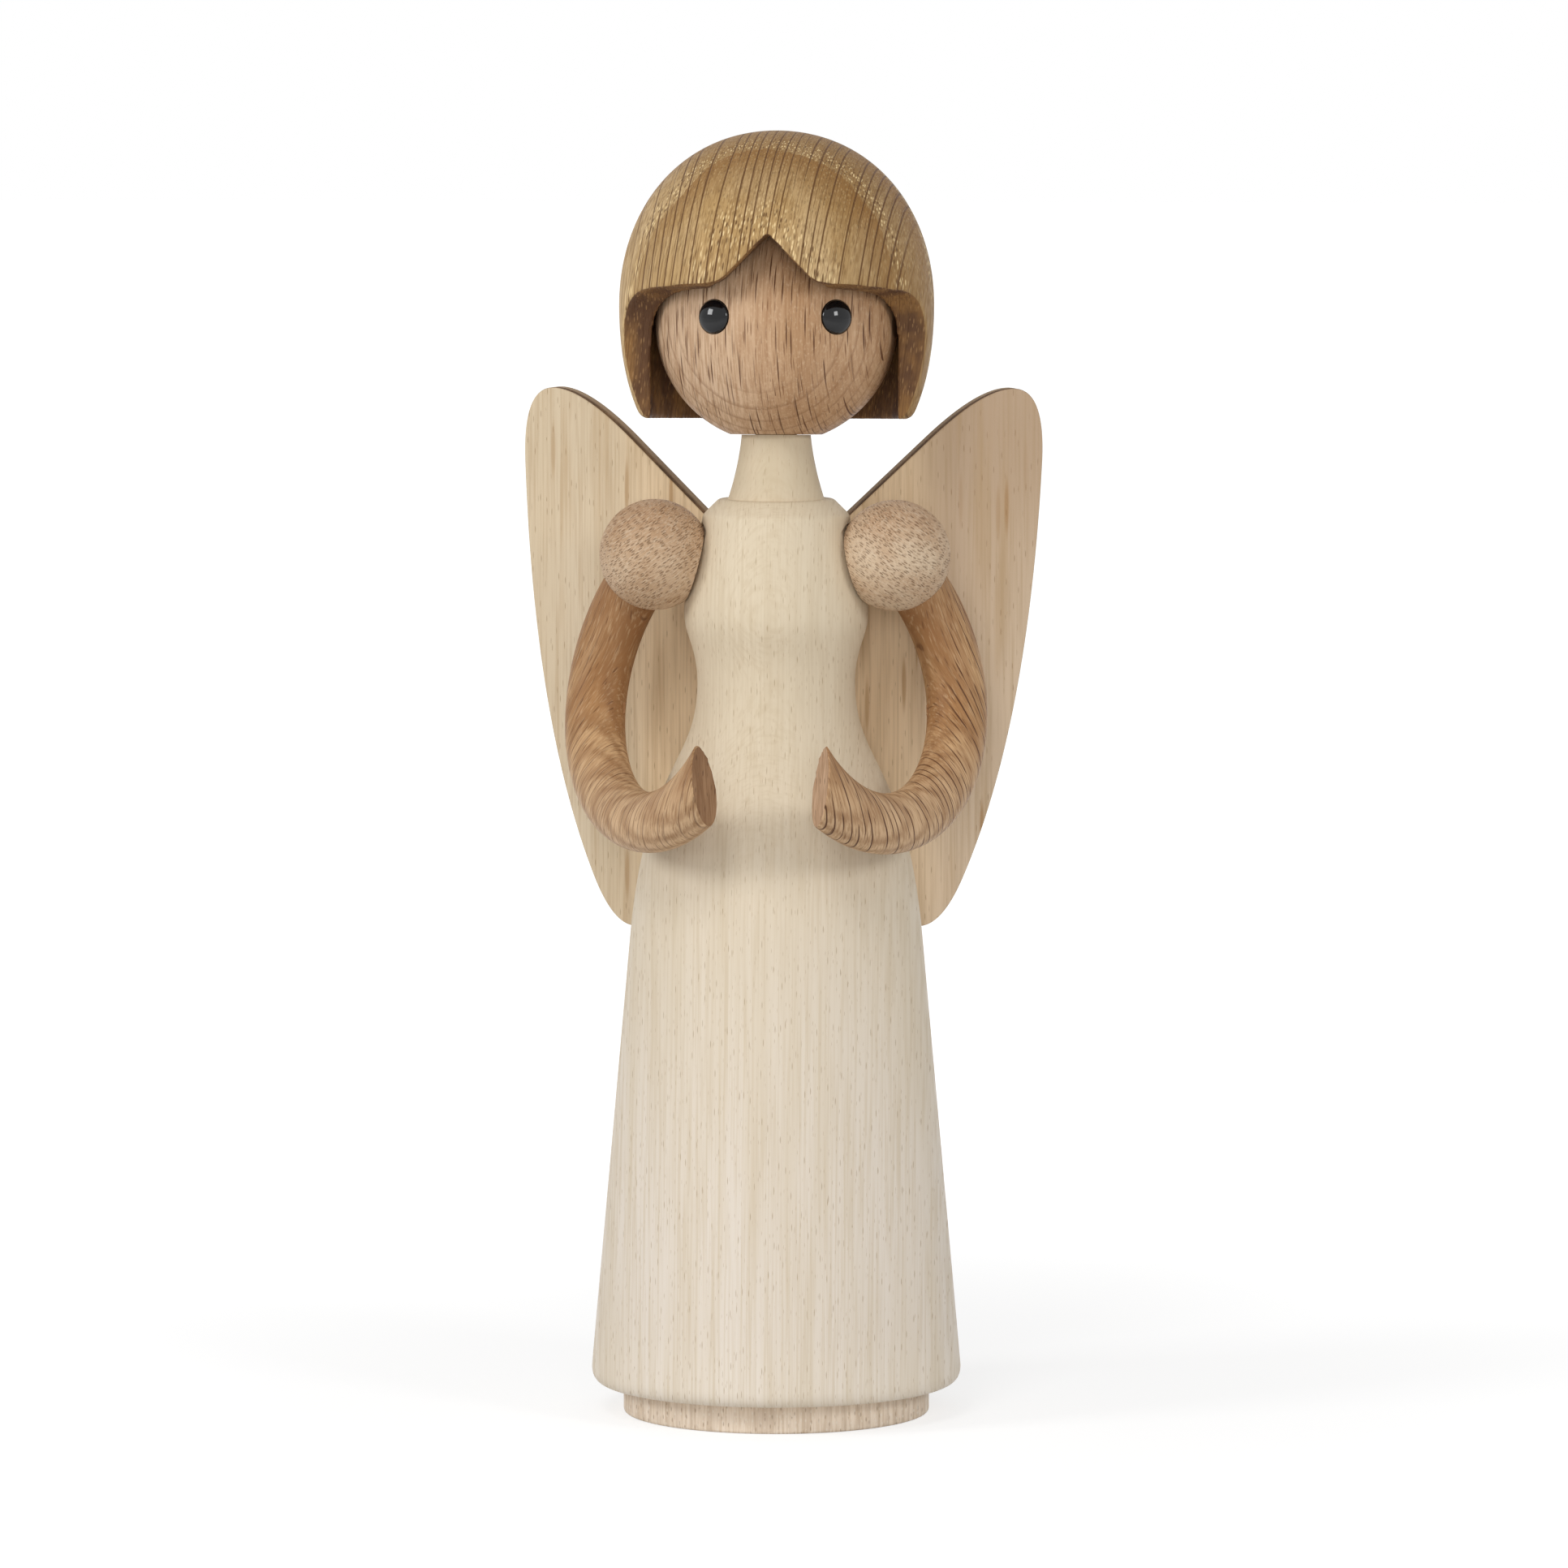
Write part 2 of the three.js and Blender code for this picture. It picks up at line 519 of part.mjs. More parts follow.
const neckDowel = bar(NECK_DOWEL_RADIUS, -NECK_DOWEL_DEPTH, FIT + HEAD_BORE_DEPTH);
const hairDowel = bar(HAIR_DOWEL_RADIUS, HEAD_CROWN - HAIR_DOWEL_DEPTH, HEAD_CROWN + FIT + HAIR_DOWEL_DEPTH);
head.add(piece('neck_dowel', solid(neckDowel), dowelWood));
head.add(piece('head_ball', headBall(), beech));
head.add(piece('hair_cap', hairCap(), oak));
head.add(piece('hair_dowel', solid(hairDowel), dowelWood));

for (const { side, name, shoulder, arm, wing } of sides) {
  const inner = -SEAT_FLOOR - SHOULDER_DOWEL_DEPTH;
  const dowel = axleBar(SHOULDER_DOWEL_RADIUS, inner, SHOULDER_DOWEL_REACH - BALL_FLAT, side);
  head.add(piece(`${name}_eye`, solid(eyeBead(side)), blackBead));
  wing.add(piece(`${name}_wing`, solid(wingBoard(side, 0)), boardWood));
  shoulder.add(piece(`${name}_shoulder_dowel`, solid(dowel), dowelWood));
  shoulder.add(piece(`${name}_shoulder_ball`, shoulderBall(side, shoulder, arm), ballWood));
  arm.add(piece(`${name}_arm`, armPiece(side, arm), beech));
}

export default figure;
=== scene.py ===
# A wooden angel figurine, made piece by piece as a turner and a joiner would make it, from the foot up.
# Lengths are millimetres for the pieces and metres for the studio and the camera, and every mesh
# is laid down in metres in the part's own frame.
import json
import math

import bpy
from mathutils import Matrix, Vector


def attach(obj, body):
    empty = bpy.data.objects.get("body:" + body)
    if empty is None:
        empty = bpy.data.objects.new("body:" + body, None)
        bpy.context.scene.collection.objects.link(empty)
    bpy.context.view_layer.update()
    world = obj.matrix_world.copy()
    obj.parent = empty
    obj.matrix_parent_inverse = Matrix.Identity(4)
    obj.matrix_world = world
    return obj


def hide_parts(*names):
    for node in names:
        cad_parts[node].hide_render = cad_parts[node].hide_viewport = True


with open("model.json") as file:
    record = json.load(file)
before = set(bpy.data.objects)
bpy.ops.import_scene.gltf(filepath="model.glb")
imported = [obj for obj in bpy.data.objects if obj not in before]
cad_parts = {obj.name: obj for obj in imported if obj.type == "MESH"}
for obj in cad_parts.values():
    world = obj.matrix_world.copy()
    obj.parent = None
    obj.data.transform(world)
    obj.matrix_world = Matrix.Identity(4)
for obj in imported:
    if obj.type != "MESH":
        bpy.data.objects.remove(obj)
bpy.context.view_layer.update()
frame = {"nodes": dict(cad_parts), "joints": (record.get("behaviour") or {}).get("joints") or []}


# Foot: a low disc of greyish beech, turned with a lightly eased edge and bored for the dowel
# that holds it under the hem.
mm = 0.001


def bare_point(name):
    """A new piece that is one vertex at the origin, left open in edit mode."""
    bpy.ops.object.select_all(action="DESELECT")
    bpy.ops.mesh.primitive_plane_add(size=mm)
    piece = bpy.context.object
    piece.name = piece.data.name = name
    bpy.ops.object.mode_set(mode="EDIT")
    bpy.ops.mesh.select_mode(type="VERT")
    bpy.ops.mesh.select_all(action="SELECT")
    bpy.ops.mesh.merge(type="CENTER")
    return piece


def draw(points):
    """Takes the one selected vertex to the first point and pulls a line of edges through the rest."""
    bpy.ops.transform.translate(value=Vector(points[0]) * mm)
    for start, end in zip(points, points[1:]):
        step = (Vector(end) - Vector(start)) * mm
        bpy.ops.mesh.extrude_vertices_move(TRANSFORM_OT_translate={"value": step})


def close_up():
    """Joins the seams of the piece in edit mode, turns its faces outward and leaves edit mode."""
    seam = 0.002 * mm
    bpy.ops.mesh.select_all(action="SELECT")
    bpy.ops.mesh.remove_doubles(threshold=seam)
    bpy.ops.mesh.normals_make_consistent(inside=False)
    bpy.ops.object.mode_set(mode="OBJECT")


def take_up(piece):
    """Makes a piece the only one selected, and the one worked on."""
    bpy.ops.object.select_all(action="DESELECT")
    piece.select_set(True)
    bpy.context.view_layer.objects.active = piece


def polish(piece, crease=32):
    """Joins what the cuts left open, and shades smoothly but for edges sharper than the crease angle."""
    take_up(piece)
    bpy.ops.object.mode_set(mode="EDIT")
    close_up()
    bpy.ops.object.shade_smooth_by_angle(angle=math.radians(crease))


def turn(name, outline, rounds):
    """A piece off the lathe: an outline of (radius, height) spun about the upright axis."""
    piece = bare_point(name)
    draw([(radius, 0, height) for radius, height in outline])
    bpy.ops.mesh.select_all(action="SELECT")
    bpy.ops.mesh.spin(steps=rounds, angle=2 * math.pi, center=(0, 0, 0), axis=(0, 0, 1))
    close_up()
    polish(piece)
    return piece


def weigh(shares, points):
    """The point that has that share of each of the given points."""
    return tuple(sum(part * place for part, place in zip(shares, along)) for along in zip(*points))


def bend(outline, corner, end, steps=8):
    """Carries an outline on to end in one bow that sets off toward corner."""
    start = outline[-1]
    for step in range(1, steps + 1):
        t = step / steps
        shares = ((1 - t) ** 2, 2 * t * (1 - t), t ** 2)
        outline.append(weigh(shares, (start, corner, end)))


def make(tree, kind, inputs=None, **settings):
    """A new shader node: its settings, then its inputs, each a value or another node's output."""
    added = tree.nodes.new("ShaderNode" + kind)
    for setting, value in settings.items():
        setattr(added, setting, value)
    for place, value in (inputs or {}).items():
        if isinstance(value, bpy.types.NodeSocket):
            tree.links.new(value, added.inputs[place])
        else:
            added.inputs[place].default_value = value
    return added


def reckon(tree, operation, *values):
    """The result of a sum on numbers and node outputs."""
    return make(tree, "Math", dict(enumerate(values)), operation=operation).outputs[0]


def gauge(tree, operation, *places):
    """The result of a sum on places: a place, or a number for a length or a dot product."""
    results = make(tree, "VectorMath", dict(enumerate(places)), operation=operation).outputs
    return results["Value"] if operation in ("LENGTH", "DOT_PRODUCT") else results["Vector"]


def share(tree, value, low, high, bottom=0.0, top=1.0):
    """How far a value has come from low to high, eased at both ends, told as bottom to top."""
    inputs = {"Value": value, "From Min": low, "From Max": high, "To Min": bottom, "To Max": top}
    return make(tree, "MapRange", inputs, interpolation_type="SMOOTHSTEP").outputs[0]


def tint(tree, amount, under, over):
    """One colour laid over another by an amount."""
    factor, first_colour, second_colour, mixed_colour = 0, 6, 7, 2
    inputs = {factor: amount, first_colour: under, second_colour: over}
    return make(tree, "Mix", inputs, data_type="RGBA").outputs[mixed_colour]


def colour(red, green, blue):
    """A colour as a shader takes it, from its look on a screen."""
    linear = []
    for level in (red / 255, green / 255, blue / 255):
        if level <= 0.04045:
            linear.append(level / 12.92)
        else:
            linear.append(((level + 0.055) / 1.055) ** 2.4)
    return (*linear, 1)


def timber(name, pith, lean=(0, 0, 0)):
    """A new wood, its node tree, and the place in the timber in millimetres, with the grain along Z.

    The pith runs through the given point, and lean turns the timber from upright, in degrees.
    """
    wood = bpy.data.materials.new(name)
    wood.use_nodes = True
    tree = wood.node_tree
    inputs = {
        "Vector": make(tree, "TexCoord").outputs["Object"],
        "Location": [length * mm for length in pith],
        "Rotation": [math.radians(angle) for angle in lean],
        "Scale": [mm] * 3,
    }
    return wood, tree, make(tree, "Mapping", inputs, vector_type="TEXTURE").outputs[0]


def stretched(tree, place, cell):
    """A place measured in cells of that many millimetres each way."""
    return make(tree, "Mapping", {"Vector": place, "Scale": [1 / size for size in cell]}).outputs[0]


def cloud(tree, place, cell, detail=2.0):
    """Soft patches of about one cell, from 0 to 1."""
    inputs = {"Vector": stretched(tree, place, cell), "Scale": 1.0, "Detail": detail}
    return make(tree, "TexNoise", inputs).outputs[0]


def dashes(tree, place, cell, reach, stray=1.0, deep=0.0):
    """One lens-shaped fleck to a cell, strong or faint, that reaches that share of the cell each way.

    It runs right through its cell toward the pith, or with some depth it is round like a pore.
    """
    core = 0.35 * reach
    faintest, strongest = -0.2, 0.8
    spot = stretched(tree, place, cell)
    flecks = make(tree, "TexVoronoi", {"Vector": spot, "Scale": 1.0, "Randomness": stray}).outputs
    level = gauge(tree, "MULTIPLY", gauge(tree, "SUBTRACT", spot, flecks["Position"]), (1, deep, 1))
    shape = share(tree, gauge(tree, "LENGTH", level), reach, core)
    strength = make(tree, "SeparateColor", {0: flecks["Color"]}).outputs[0]
    return reckon(tree, "MULTIPLY", shape, share(tree, strength, faintest, strongest))


def years(tree, place, width, waver, amount):
    """Growth rings: 0 to 1 through each year's wood, wandering by an amount over patches of that size."""
    away = gauge(tree, "LENGTH", gauge(tree, "MULTIPLY", place, (1, 1, 0)))
    drift = reckon(tree, "MULTIPLY", cloud(tree, place, waver), amount)
    return reckon(tree, "FRACT", reckon(tree, "ADD", reckon(tree, "DIVIDE", away, width), drift))


def year_lines(tree, ring, start):
    """Thin lines at the end of each year: they set in at that share of it, darken, and break off."""
    darkest, last = 0.92, 0.95
    return reckon(tree, "MULTIPLY", share(tree, ring, start, darkest), share(tree, ring, 1, last))


def finish(tree, tone, rough, height, depth, sheen=0.22):
    """Gives the shader its colour, its roughness and its open grain, which is depth millimetres deep."""
    grain_strength = 0.8
    shader = tree.nodes["Principled BSDF"]
    shader.inputs["Specular IOR Level"].default_value = sheen
    tree.links.new(tone, shader.inputs["Base Color"])
    tree.links.new(rough, shader.inputs["Roughness"])
    bump = make(tree, "Bump", {"Height": height, "Distance": depth * mm, "Strength": grain_strength})
    tree.links.new(bump.outputs[0], shader.inputs["Normal"])


def clothe(piece, wood, body, slot, *nodes):
    """Puts a wood on a piece, sets it on its body and lets it stand for the solids that it shows."""
    piece.data.materials.clear()
    piece.data.materials.append(wood)
    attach(piece, body)
    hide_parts(*nodes)


foot_radius = 22.2
foot_height = 4.2
foot_lower_edge = 0.6
foot_upper_edge = 0.3
foot_bore_radius = 4.3
foot_bore_floor = 1.2
outline = [(0, 0), (foot_radius - foot_lower_edge, 0)]
bend(outline, (foot_radius, 0), (foot_radius, foot_lower_edge))
outline.append((foot_radius, foot_height - foot_upper_edge))
bend(outline, (foot_radius, foot_height), (foot_radius - foot_upper_edge, foot_height), steps=4)
outline += [(foot_bore_radius, foot_height), (foot_bore_radius, foot_bore_floor), (0, foot_bore_floor)]
foot = turn("turned_foot", outline, rounds=144)


def foot_wood():
    wood, tree, place = timber("grey beech of the foot", pith=(-4, -70, 0))
    line = year_lines(tree, years(tree, place, width=1.7, waver=(20, 20, 60), amount=1.5), start=0.4)
    fibre = cloud(tree, place, cell=(0.3, 2, 5), detail=3)
    fleck = dashes(tree, place, cell=(0.7, 3, 2.6), reach=0.17)
    speck = dashes(tree, place, cell=(0.7, 2, 1.4), reach=0.22)
    tone = tint(tree, share(tree, fibre, 0.35, 0.7), colour(247, 231, 212), colour(226, 206, 182))
    tone = tint(tree, reckon(tree, "MULTIPLY", line, 0.3), tone, colour(186, 160, 132))
    tone = tint(tree, reckon(tree, "MULTIPLY", fleck, 0.55), tone, colour(158, 128, 100))
    tone = tint(tree, reckon(tree, "MULTIPLY", speck, 0.5), tone, colour(248, 238, 224))
    relief = reckon(tree, "SUBTRACT", fibre, reckon(tree, "MULTIPLY", fleck, 0.8))
    finish(tree, tone, share(tree, fibre, 0.2, 0.8, bottom=0.5, top=0.7), relief, depth=0.05)
    return wood


clothe(foot, foot_wood(), "figure", "foot_wood", "foot_disc")


# Dress: skirt, waist, shoulders and neck turned from one pale blank. The back is slotted for the wings,
# the shoulders are spot-faced for the balls, and the neck is cut to the tilt of the head.
def sweep(outline, leave, arrive, end, steps=20):
    """Carries an outline on to end, setting off toward one point and coming in from another."""
    start = outline[-1]
    for step in range(1, steps + 1):
        t = step / steps
        shares = ((1 - t) ** 3, 3 * t * (1 - t) ** 2, 3 * t ** 2 * (1 - t), t ** 3)
        outline.append(weigh(shares, (start, leave, arrive, end)))


def cut(piece, cutter):
    """Takes the cutter's shape out of a piece and throws the cutter away."""
    take_up(piece)
    bpy.ops.object.modifier_add(type="BOOLEAN")
    saw = piece.modifiers[-1]
    saw.operation = "DIFFERENCE"
    saw.solver = "MANIFOLD"
    saw.object = cutter
    bpy.ops.object.modifier_apply(modifier=saw.name)
    bpy.data.objects.remove(cutter)


def settle(piece, place):
    """Moves a piece from the bench to its place, and lays that place down in its mesh."""
    take_up(piece)
    piece.matrix_world = place
    bpy.ops.object.transform_apply()


def drill(radius, low, high, place):
    """A cutter for a round hole along Z of a place, between two heights."""
    facets = 64
    middle = (0, 0, (low + high) / 2 * mm)
    depth = (high - low) * mm
    bpy.ops.object.select_all(action="DESELECT")
    bpy.ops.mesh.primitive_cylinder_add(vertices=facets, radius=radius * mm, depth=depth, location=middle)
    bit = bpy.context.object
    settle(bit, place @ bit.matrix_world)
    return bit


def sawn_block(name, points, run):
    """A flat outline in space pulled along a run into a closed block, as a saw cuts it."""
    block = bare_point(name)
    draw(points)
    bpy.ops.mesh.select_all(action="SELECT")
    bpy.ops.mesh.edge_face_add()
    bpy.ops.mesh.extrude_region_move(TRANSFORM_OT_translate={"value": Vector(run) * mm})
    close_up()
    return block


# Room round a dowel or a board, room at a seat, and how far a drill starts outside the wood
tight = 0.1
fit = 0.3
clear = 1
hem_bottom = 4.3
hem_radius = 26.8
hem_round = 2.3
skirt_foot = 6.7
skirt_top = 69.1
skirt_top_radius = 21.2
waist = 106.3
waist_radius = 11.4
bust = 116.2
bust_radius = 13.3
bevel_foot = 130.6
shoulder_radius = 10.5
shoulder_bevel = 2.2
shoulder_top = 132.8
shoulder_rim = 0.35
neck_base_radius = 6.95
neck_top_radius = 5
neck_top = 141.8
neck_waist_radius = 5.475
hip = waist - skirt_top
hip_leave = 0.7 * hip
hip_arrive = 0.33 * hip
midriff = bust - waist
midriff_leave = 0.5 * midriff
midriff_arrive = 0.3 * midriff
chest = bevel_foot - bust
chest_leave = 0.3 * chest
shoulder_narrowing = bust_radius - shoulder_radius
shoulder_arrive = 0.34
shoulder_lean = 0.1
skirt_taper = (hem_radius - skirt_top_radius) / (skirt_top - skirt_foot)
foot_dowel_top = 19.8
flat_edge_radius = shoulder_radius - shoulder_bevel
outline = [(0, foot_dowel_top), (foot_bore_radius, foot_dowel_top), (foot_bore_radius, hem_bottom)]
outline.append((hem_radius - hem_round, hem_bottom))
bend(outline, (hem_radius, hem_bottom), (hem_radius, skirt_foot), steps=12)
skirt_rings = 24
for ring in range(1, skirt_rings + 1):
    up = ring / skirt_rings
    radius = hem_radius + (skirt_top_radius - hem_radius) * up
    outline.append((radius, skirt_foot + (skirt_top - skirt_foot) * up))
sweep(outline, (skirt_top_radius - skirt_taper * hip_leave, skirt_top + hip_leave),
      (waist_radius, waist - hip_arrive), (waist_radius, waist), steps=36)
sweep(outline, (waist_radius, waist + midriff_leave),
      (bust_radius, bust - midriff_arrive), (bust_radius, bust))
sweep(outline, (bust_radius, bust + chest_leave),
      (shoulder_radius + shoulder_arrive * shoulder_narrowing, bevel_foot - shoulder_arrive * chest),
      (shoulder_radius + shoulder_lean, bevel_foot - shoulder_rim))
bend(outline, (shoulder_radius, bevel_foot),
     (shoulder_radius - shoulder_rim, bevel_foot + shoulder_rim), steps=4)
outline.append((flat_edge_radius + shoulder_rim, shoulder_top - shoulder_rim))
bend(outline, (flat_edge_radius, shoulder_top), (flat_edge_radius - shoulder_rim, shoulder_top), steps=4)
outline.append((neck_base_radius, shoulder_top))
bend(outline, (neck_waist_radius, (shoulder_top + neck_top) / 2), (neck_top_radius, neck_top), steps=16)
neck_end = neck_top + neck_top_radius
outline += [(neck_top_radius, neck_end), (0, neck_end)]
dress = turn("turned_dress", outline, rounds=160)

head_tilt = 3
head_place = Matrix.Translation((0, 0, neck_top * mm)) @ Matrix.Rotation(math.radians(-head_tilt), 4, "X")
neck_seat = 0.2
neck_dowel_radius = 3
neck_dowel_depth = 12
cut(dress, drill(2 * neck_top_radius, neck_seat, 3 * neck_top_radius, head_place))
cut(dress, drill(neck_dowel_radius + tight, -neck_dowel_depth - tight, clear, head_place))

sides = {"left": -1, "right": 1}
swing = {joint["name"].split("_")[0]: joint for joint in frame["joints"]}
shoulder_tilt = math.radians(15)
shoulder_forward = math.radians(10)
ball_radius = 8
ball_flat_radius = 5.45
seated_radius = 5.6
seated_flat = math.sqrt(ball_radius ** 2 - seated_radius ** 2)
seat_margin = 0.6
seat_radius = seated_radius + seat_margin
seat_floor = seated_flat + fit
shoulder_dowel_radius = 2.2
shoulder_dowel_depth = 7.5
shoulder_dowel_reach = 3.2
shoulder_dowel_inner = -seat_floor - shoulder_dowel_depth
shoulder_dowel_outer = shoulder_dowel_reach - seated_flat
shoulder_place = {}
ball_place = {}
for name, side in sides.items():
    forward = Matrix.Rotation(-side * shoulder_forward, 4, "Z")
    axle = forward @ Matrix.Rotation(-side * shoulder_tilt, 4, "Y")
    shoulder_place[name] = Matrix.Translation(swing[name]["pos_m"]) @ axle
    ball_place[name] = shoulder_place[name] @ Matrix.Rotation(side * math.pi / 2, 4, "Y")
    cut(dress, drill(seat_radius, -seat_floor, ball_radius, ball_place[name]))
    cut(dress, drill(shoulder_dowel_radius + tight, shoulder_dowel_inner - tight, 0, ball_place[name]))

wing_thickness = 3.5
wing_sweep = math.radians(18)
wing_root_aside = 4
wing_root_back = 7
wing_roll = {-1: 0, 1: math.radians(1)}
wing_roll_out = 33
wing_roll_rise = 28


def wing_outline(side, grow):
    """The sawn shape of a wing, flat in its own upright plane, outward from its straight inner edge."""
    root_rise, root_drop = 7.5, 41
    slope_out, slope_rise = 18.3, 24.6
    tip_out, rise = 30.6, 31.8 + grow
    span, widest_rise = 35.1 + grow, 21
    heel_out, heel_drop = 24.3 + grow, 39.6
    bottom_out, drop = 17.8, 46.7 + grow
    slope = (slope_rise - root_rise) / slope_out
    lift = grow * math.hypot(1, slope)
    side_lean = math.tan(math.radians(2))
    heel_lean = math.tan(math.radians(23))
    crest = slope_out + (rise - slope_rise - lift) / slope
    corner = span + (rise - widest_rise) * side_lean
    above = (span - heel_out - (widest_rise + heel_drop) * side_lean) / (heel_lean - side_lean)
    belly = heel_out + above * heel_lean
    toe = heel_out - (drop - heel_drop) * heel_lean
    shape = [(-grow, root_rise + lift - slope * grow), (slope_out, slope_rise + lift)]
    bend(shape, (crest, rise), (tip_out, rise), steps=20)
    bend(shape, (corner, rise), (span, widest_rise), steps=24)
    bend(shape, (belly, above - heel_drop), (heel_out, -heel_drop), steps=32)
    bend(shape, (toe, -drop), (bottom_out, -drop), steps=16)
    shape.append((-grow, -root_drop - grow))
    return [(side * out, up) for out, up in shape]


def wing_board(name, side, grow):
    """The board of a wing, or with some growth the slot that it is glued into, in its place."""
    thick = wing_thickness + 2 * grow
    points = [(out, -thick / 2, up) for out, up in wing_outline(side, grow)]
    board = sawn_block(name, points, (0, thick, 0))
    root = Vector((side * wing_root_aside, wing_root_back, bust)) * mm
    swept = Matrix.Translation(root) @ Matrix.Rotation(side * wing_sweep, 4, "Z")
    top = Matrix.Translation(Vector((side * wing_roll_out, 0, wing_roll_rise)) * mm)
    return board, swept @ top @ Matrix.Rotation(wing_roll[side], 4, "Y") @ top.inverted()


for name, side in sides.items():
    slot, slot_place = wing_board("wing_slot", side, tight)
    settle(slot, slot_place)
    cut(dress, slot)
polish(dress)


def dress_wood():
    wood, tree, place = timber("pale wood of the dress", pith=(-2, -62, 0))
    where = make(tree, "SeparateXYZ", {0: place}).outputs
    bodice = share(tree, where["Z"], 72, 96)
    front = share(tree, reckon(tree, "ABSOLUTE", where["X"]), 9, 2)
    fibre = cloud(tree, place, cell=(0.32, 3, 26), detail=3)
    band = cloud(tree, place, cell=(2.5, 8, 70))
    sheet = cloud(tree, place, cell=(1.6, 0.22, 3), detail=2)
    fleck = dashes(tree, place, cell=(0.85, 1.8, 8), reach=0.09)
    short = dashes(tree, place, cell=(0.55, 1.3, 4), reach=0.11)
    tone = tint(tree, share(tree, where["Z"], 20, 110), colour(231, 220, 206), colour(222, 207, 181))
    tone = tint(tree, share(tree, where["Z"], 16, 5, top=0.5), tone, colour(240, 229, 213))
    # Painted shade: the top of the neck is darkened where the head shades it.
    tone = tint(tree, share(tree, where["Z"], 131, 136, top=0.75), tone, colour(203, 187, 158))
    tone = tint(tree, share(tree, band, 0.35, 0.7, top=0.4), tone, colour(215, 199, 172))
    tone = tint(tree, share(tree, fibre, 0.38, 0.72, top=0.5), tone, colour(206, 188, 159))
    middle = reckon(tree, "MULTIPLY", bodice, front)
    ripple = reckon(tree, "MULTIPLY", share(tree, sheet, 0.42, 0.72, top=0.26), middle)
    tone = tint(tree, ripple, tone, colour(196, 175, 142))
    tone = tint(tree, reckon(tree, "MULTIPLY", fleck, 0.6), tone, colour(166, 138, 103))
    tone = tint(tree, reckon(tree, "MULTIPLY", short, 0.45), tone, colour(178, 151, 116))
    relief = reckon(tree, "SUBTRACT", fibre, reckon(tree, "MULTIPLY", fleck, 0.7))
    finish(tree, tone, share(tree, fibre, 0.2, 0.8, bottom=0.48, top=0.62), relief, depth=0.03)
    return wood


clothe(dress, dress_wood(), "figure", "pale_wood", "dress_body")


# Wings: two birch boards sawn to a leaf shape, their edges browned by the saw along the front face,
# each glued by its straight inner edge into a slot in the back of the dress.
def wing_wood(side_name, pith, pale, warm, tip):
    wood, tree, place = timber("birch of the " + side_name + " wing", pith)
    height = make(tree, "SeparateXYZ", {0: place}).outputs["Z"]
    across = make(tree, "SeparateXYZ", {0: make(tree, "TexCoord").outputs["Object"]}).outputs["X"]
    aside = reckon(tree, "ABSOLUTE", across)
    ring = years(tree, place, width=7, waver=(25, 25, 140), amount=2.2)
    fibre = cloud(tree, place, cell=(0.35, 2, 16), detail=3)
    streak = cloud(tree, place, cell=(2.2, 4, 40), detail=3)
    fleck = dashes(tree, place, cell=(0.9, 4, 7), reach=0.1)
    stain = dashes(tree, place, cell=(5, 60, 60), reach=0.09)
    tone = tint(tree, reckon(tree, "PINGPONG", ring, 0.5), pale, warm)
    # The tip colour darkens the top of the right wing: partly its own browner wood, partly painted shade.
    tone = tint(tree, share(tree, height, 105, 145, top=0.6), tone, tip)
    # Painted light: near the root, between arm and dress, the wood is lightened to lift the shade there.
    tone = tint(tree, share(tree, aside, 26 * mm, 16 * mm, top=0.7), tone, colour(240, 212, 172))
    tone = tint(tree, share(tree, fibre, 0.38, 0.75, top=0.45), tone, colour(178, 150, 114))
    tone = tint(tree, share(tree, streak, 0.5, 0.75, top=0.4), tone, colour(184, 152, 110))
    tone = tint(tree, reckon(tree, "MULTIPLY", fleck, 0.5), tone, colour(146, 114, 80))
    tone = tint(tree, reckon(tree, "MULTIPLY", stain, 0.6), tone, colour(160, 116, 62))
    relief = reckon(tree, "SUBTRACT", fibre, reckon(tree, "MULTIPLY", fleck, 0.7))
    finish(tree, tone, share(tree, fibre, 0.2, 0.8, bottom=0.5, top=0.66), relief, depth=0.03)
    return wood


def wing_edge_wood():
    wood, tree, place = timber("browned edge of the wings", pith=(0, 0, 0))
    where = make(tree, "SeparateXYZ", {0: place}).outputs
    outward = reckon(tree, "SUBTRACT", reckon(tree, "ABSOLUTE", where["X"]), wing_root_aside)
    backward = reckon(tree, "SUBTRACT", where["Y"], wing_root_back)
    across = reckon(tree, "SUBTRACT", reckon(tree, "MULTIPLY", backward, math.cos(wing_sweep)),
                    reckon(tree, "MULTIPLY", outward, math.sin(wing_sweep)))
    burn = cloud(tree, place, cell=(3, 3, 5), detail=3)
    fibre = cloud(tree, place, cell=(0.3, 0.3, 2))
    tone = tint(tree, share(tree, burn, 0.35, 0.7), colour(104, 76, 50), colour(146, 112, 78))
    tone = tint(tree, share(tree, fibre, 0.4, 0.7, top=0.6), tone, colour(74, 52, 34))
    tone = tint(tree, share(tree, across, -0.9, 0.3, top=0.8), tone, colour(196, 170, 138))
    finish(tree, tone, share(tree, fibre, 0.2, 0.8, bottom=0.6, top=0.8), fibre, depth=0.05)
    return wood


def pick_faces(piece, wanted):
    """Opens a piece in edit mode with only the wanted faces selected."""
    take_up(piece)
    bpy.ops.object.mode_set(mode="EDIT")
    bpy.ops.mesh.select_mode(type="FACE")
    bpy.ops.mesh.select_all(action="DESELECT")
    bpy.ops.object.mode_set(mode="OBJECT")
    for face in piece.data.polygons:
        face.select = wanted(face)
    bpy.ops.object.mode_set(mode="EDIT")


def face_with(piece, wood, wanted):
    """Puts one more wood on the wanted faces of a piece."""
    piece.data.materials.append(wood)
    pick_faces(piece, wanted)
    piece.active_material_index = len(piece.data.materials) - 1
    bpy.ops.object.material_slot_assign()
    bpy.ops.object.mode_set(mode="OBJECT")


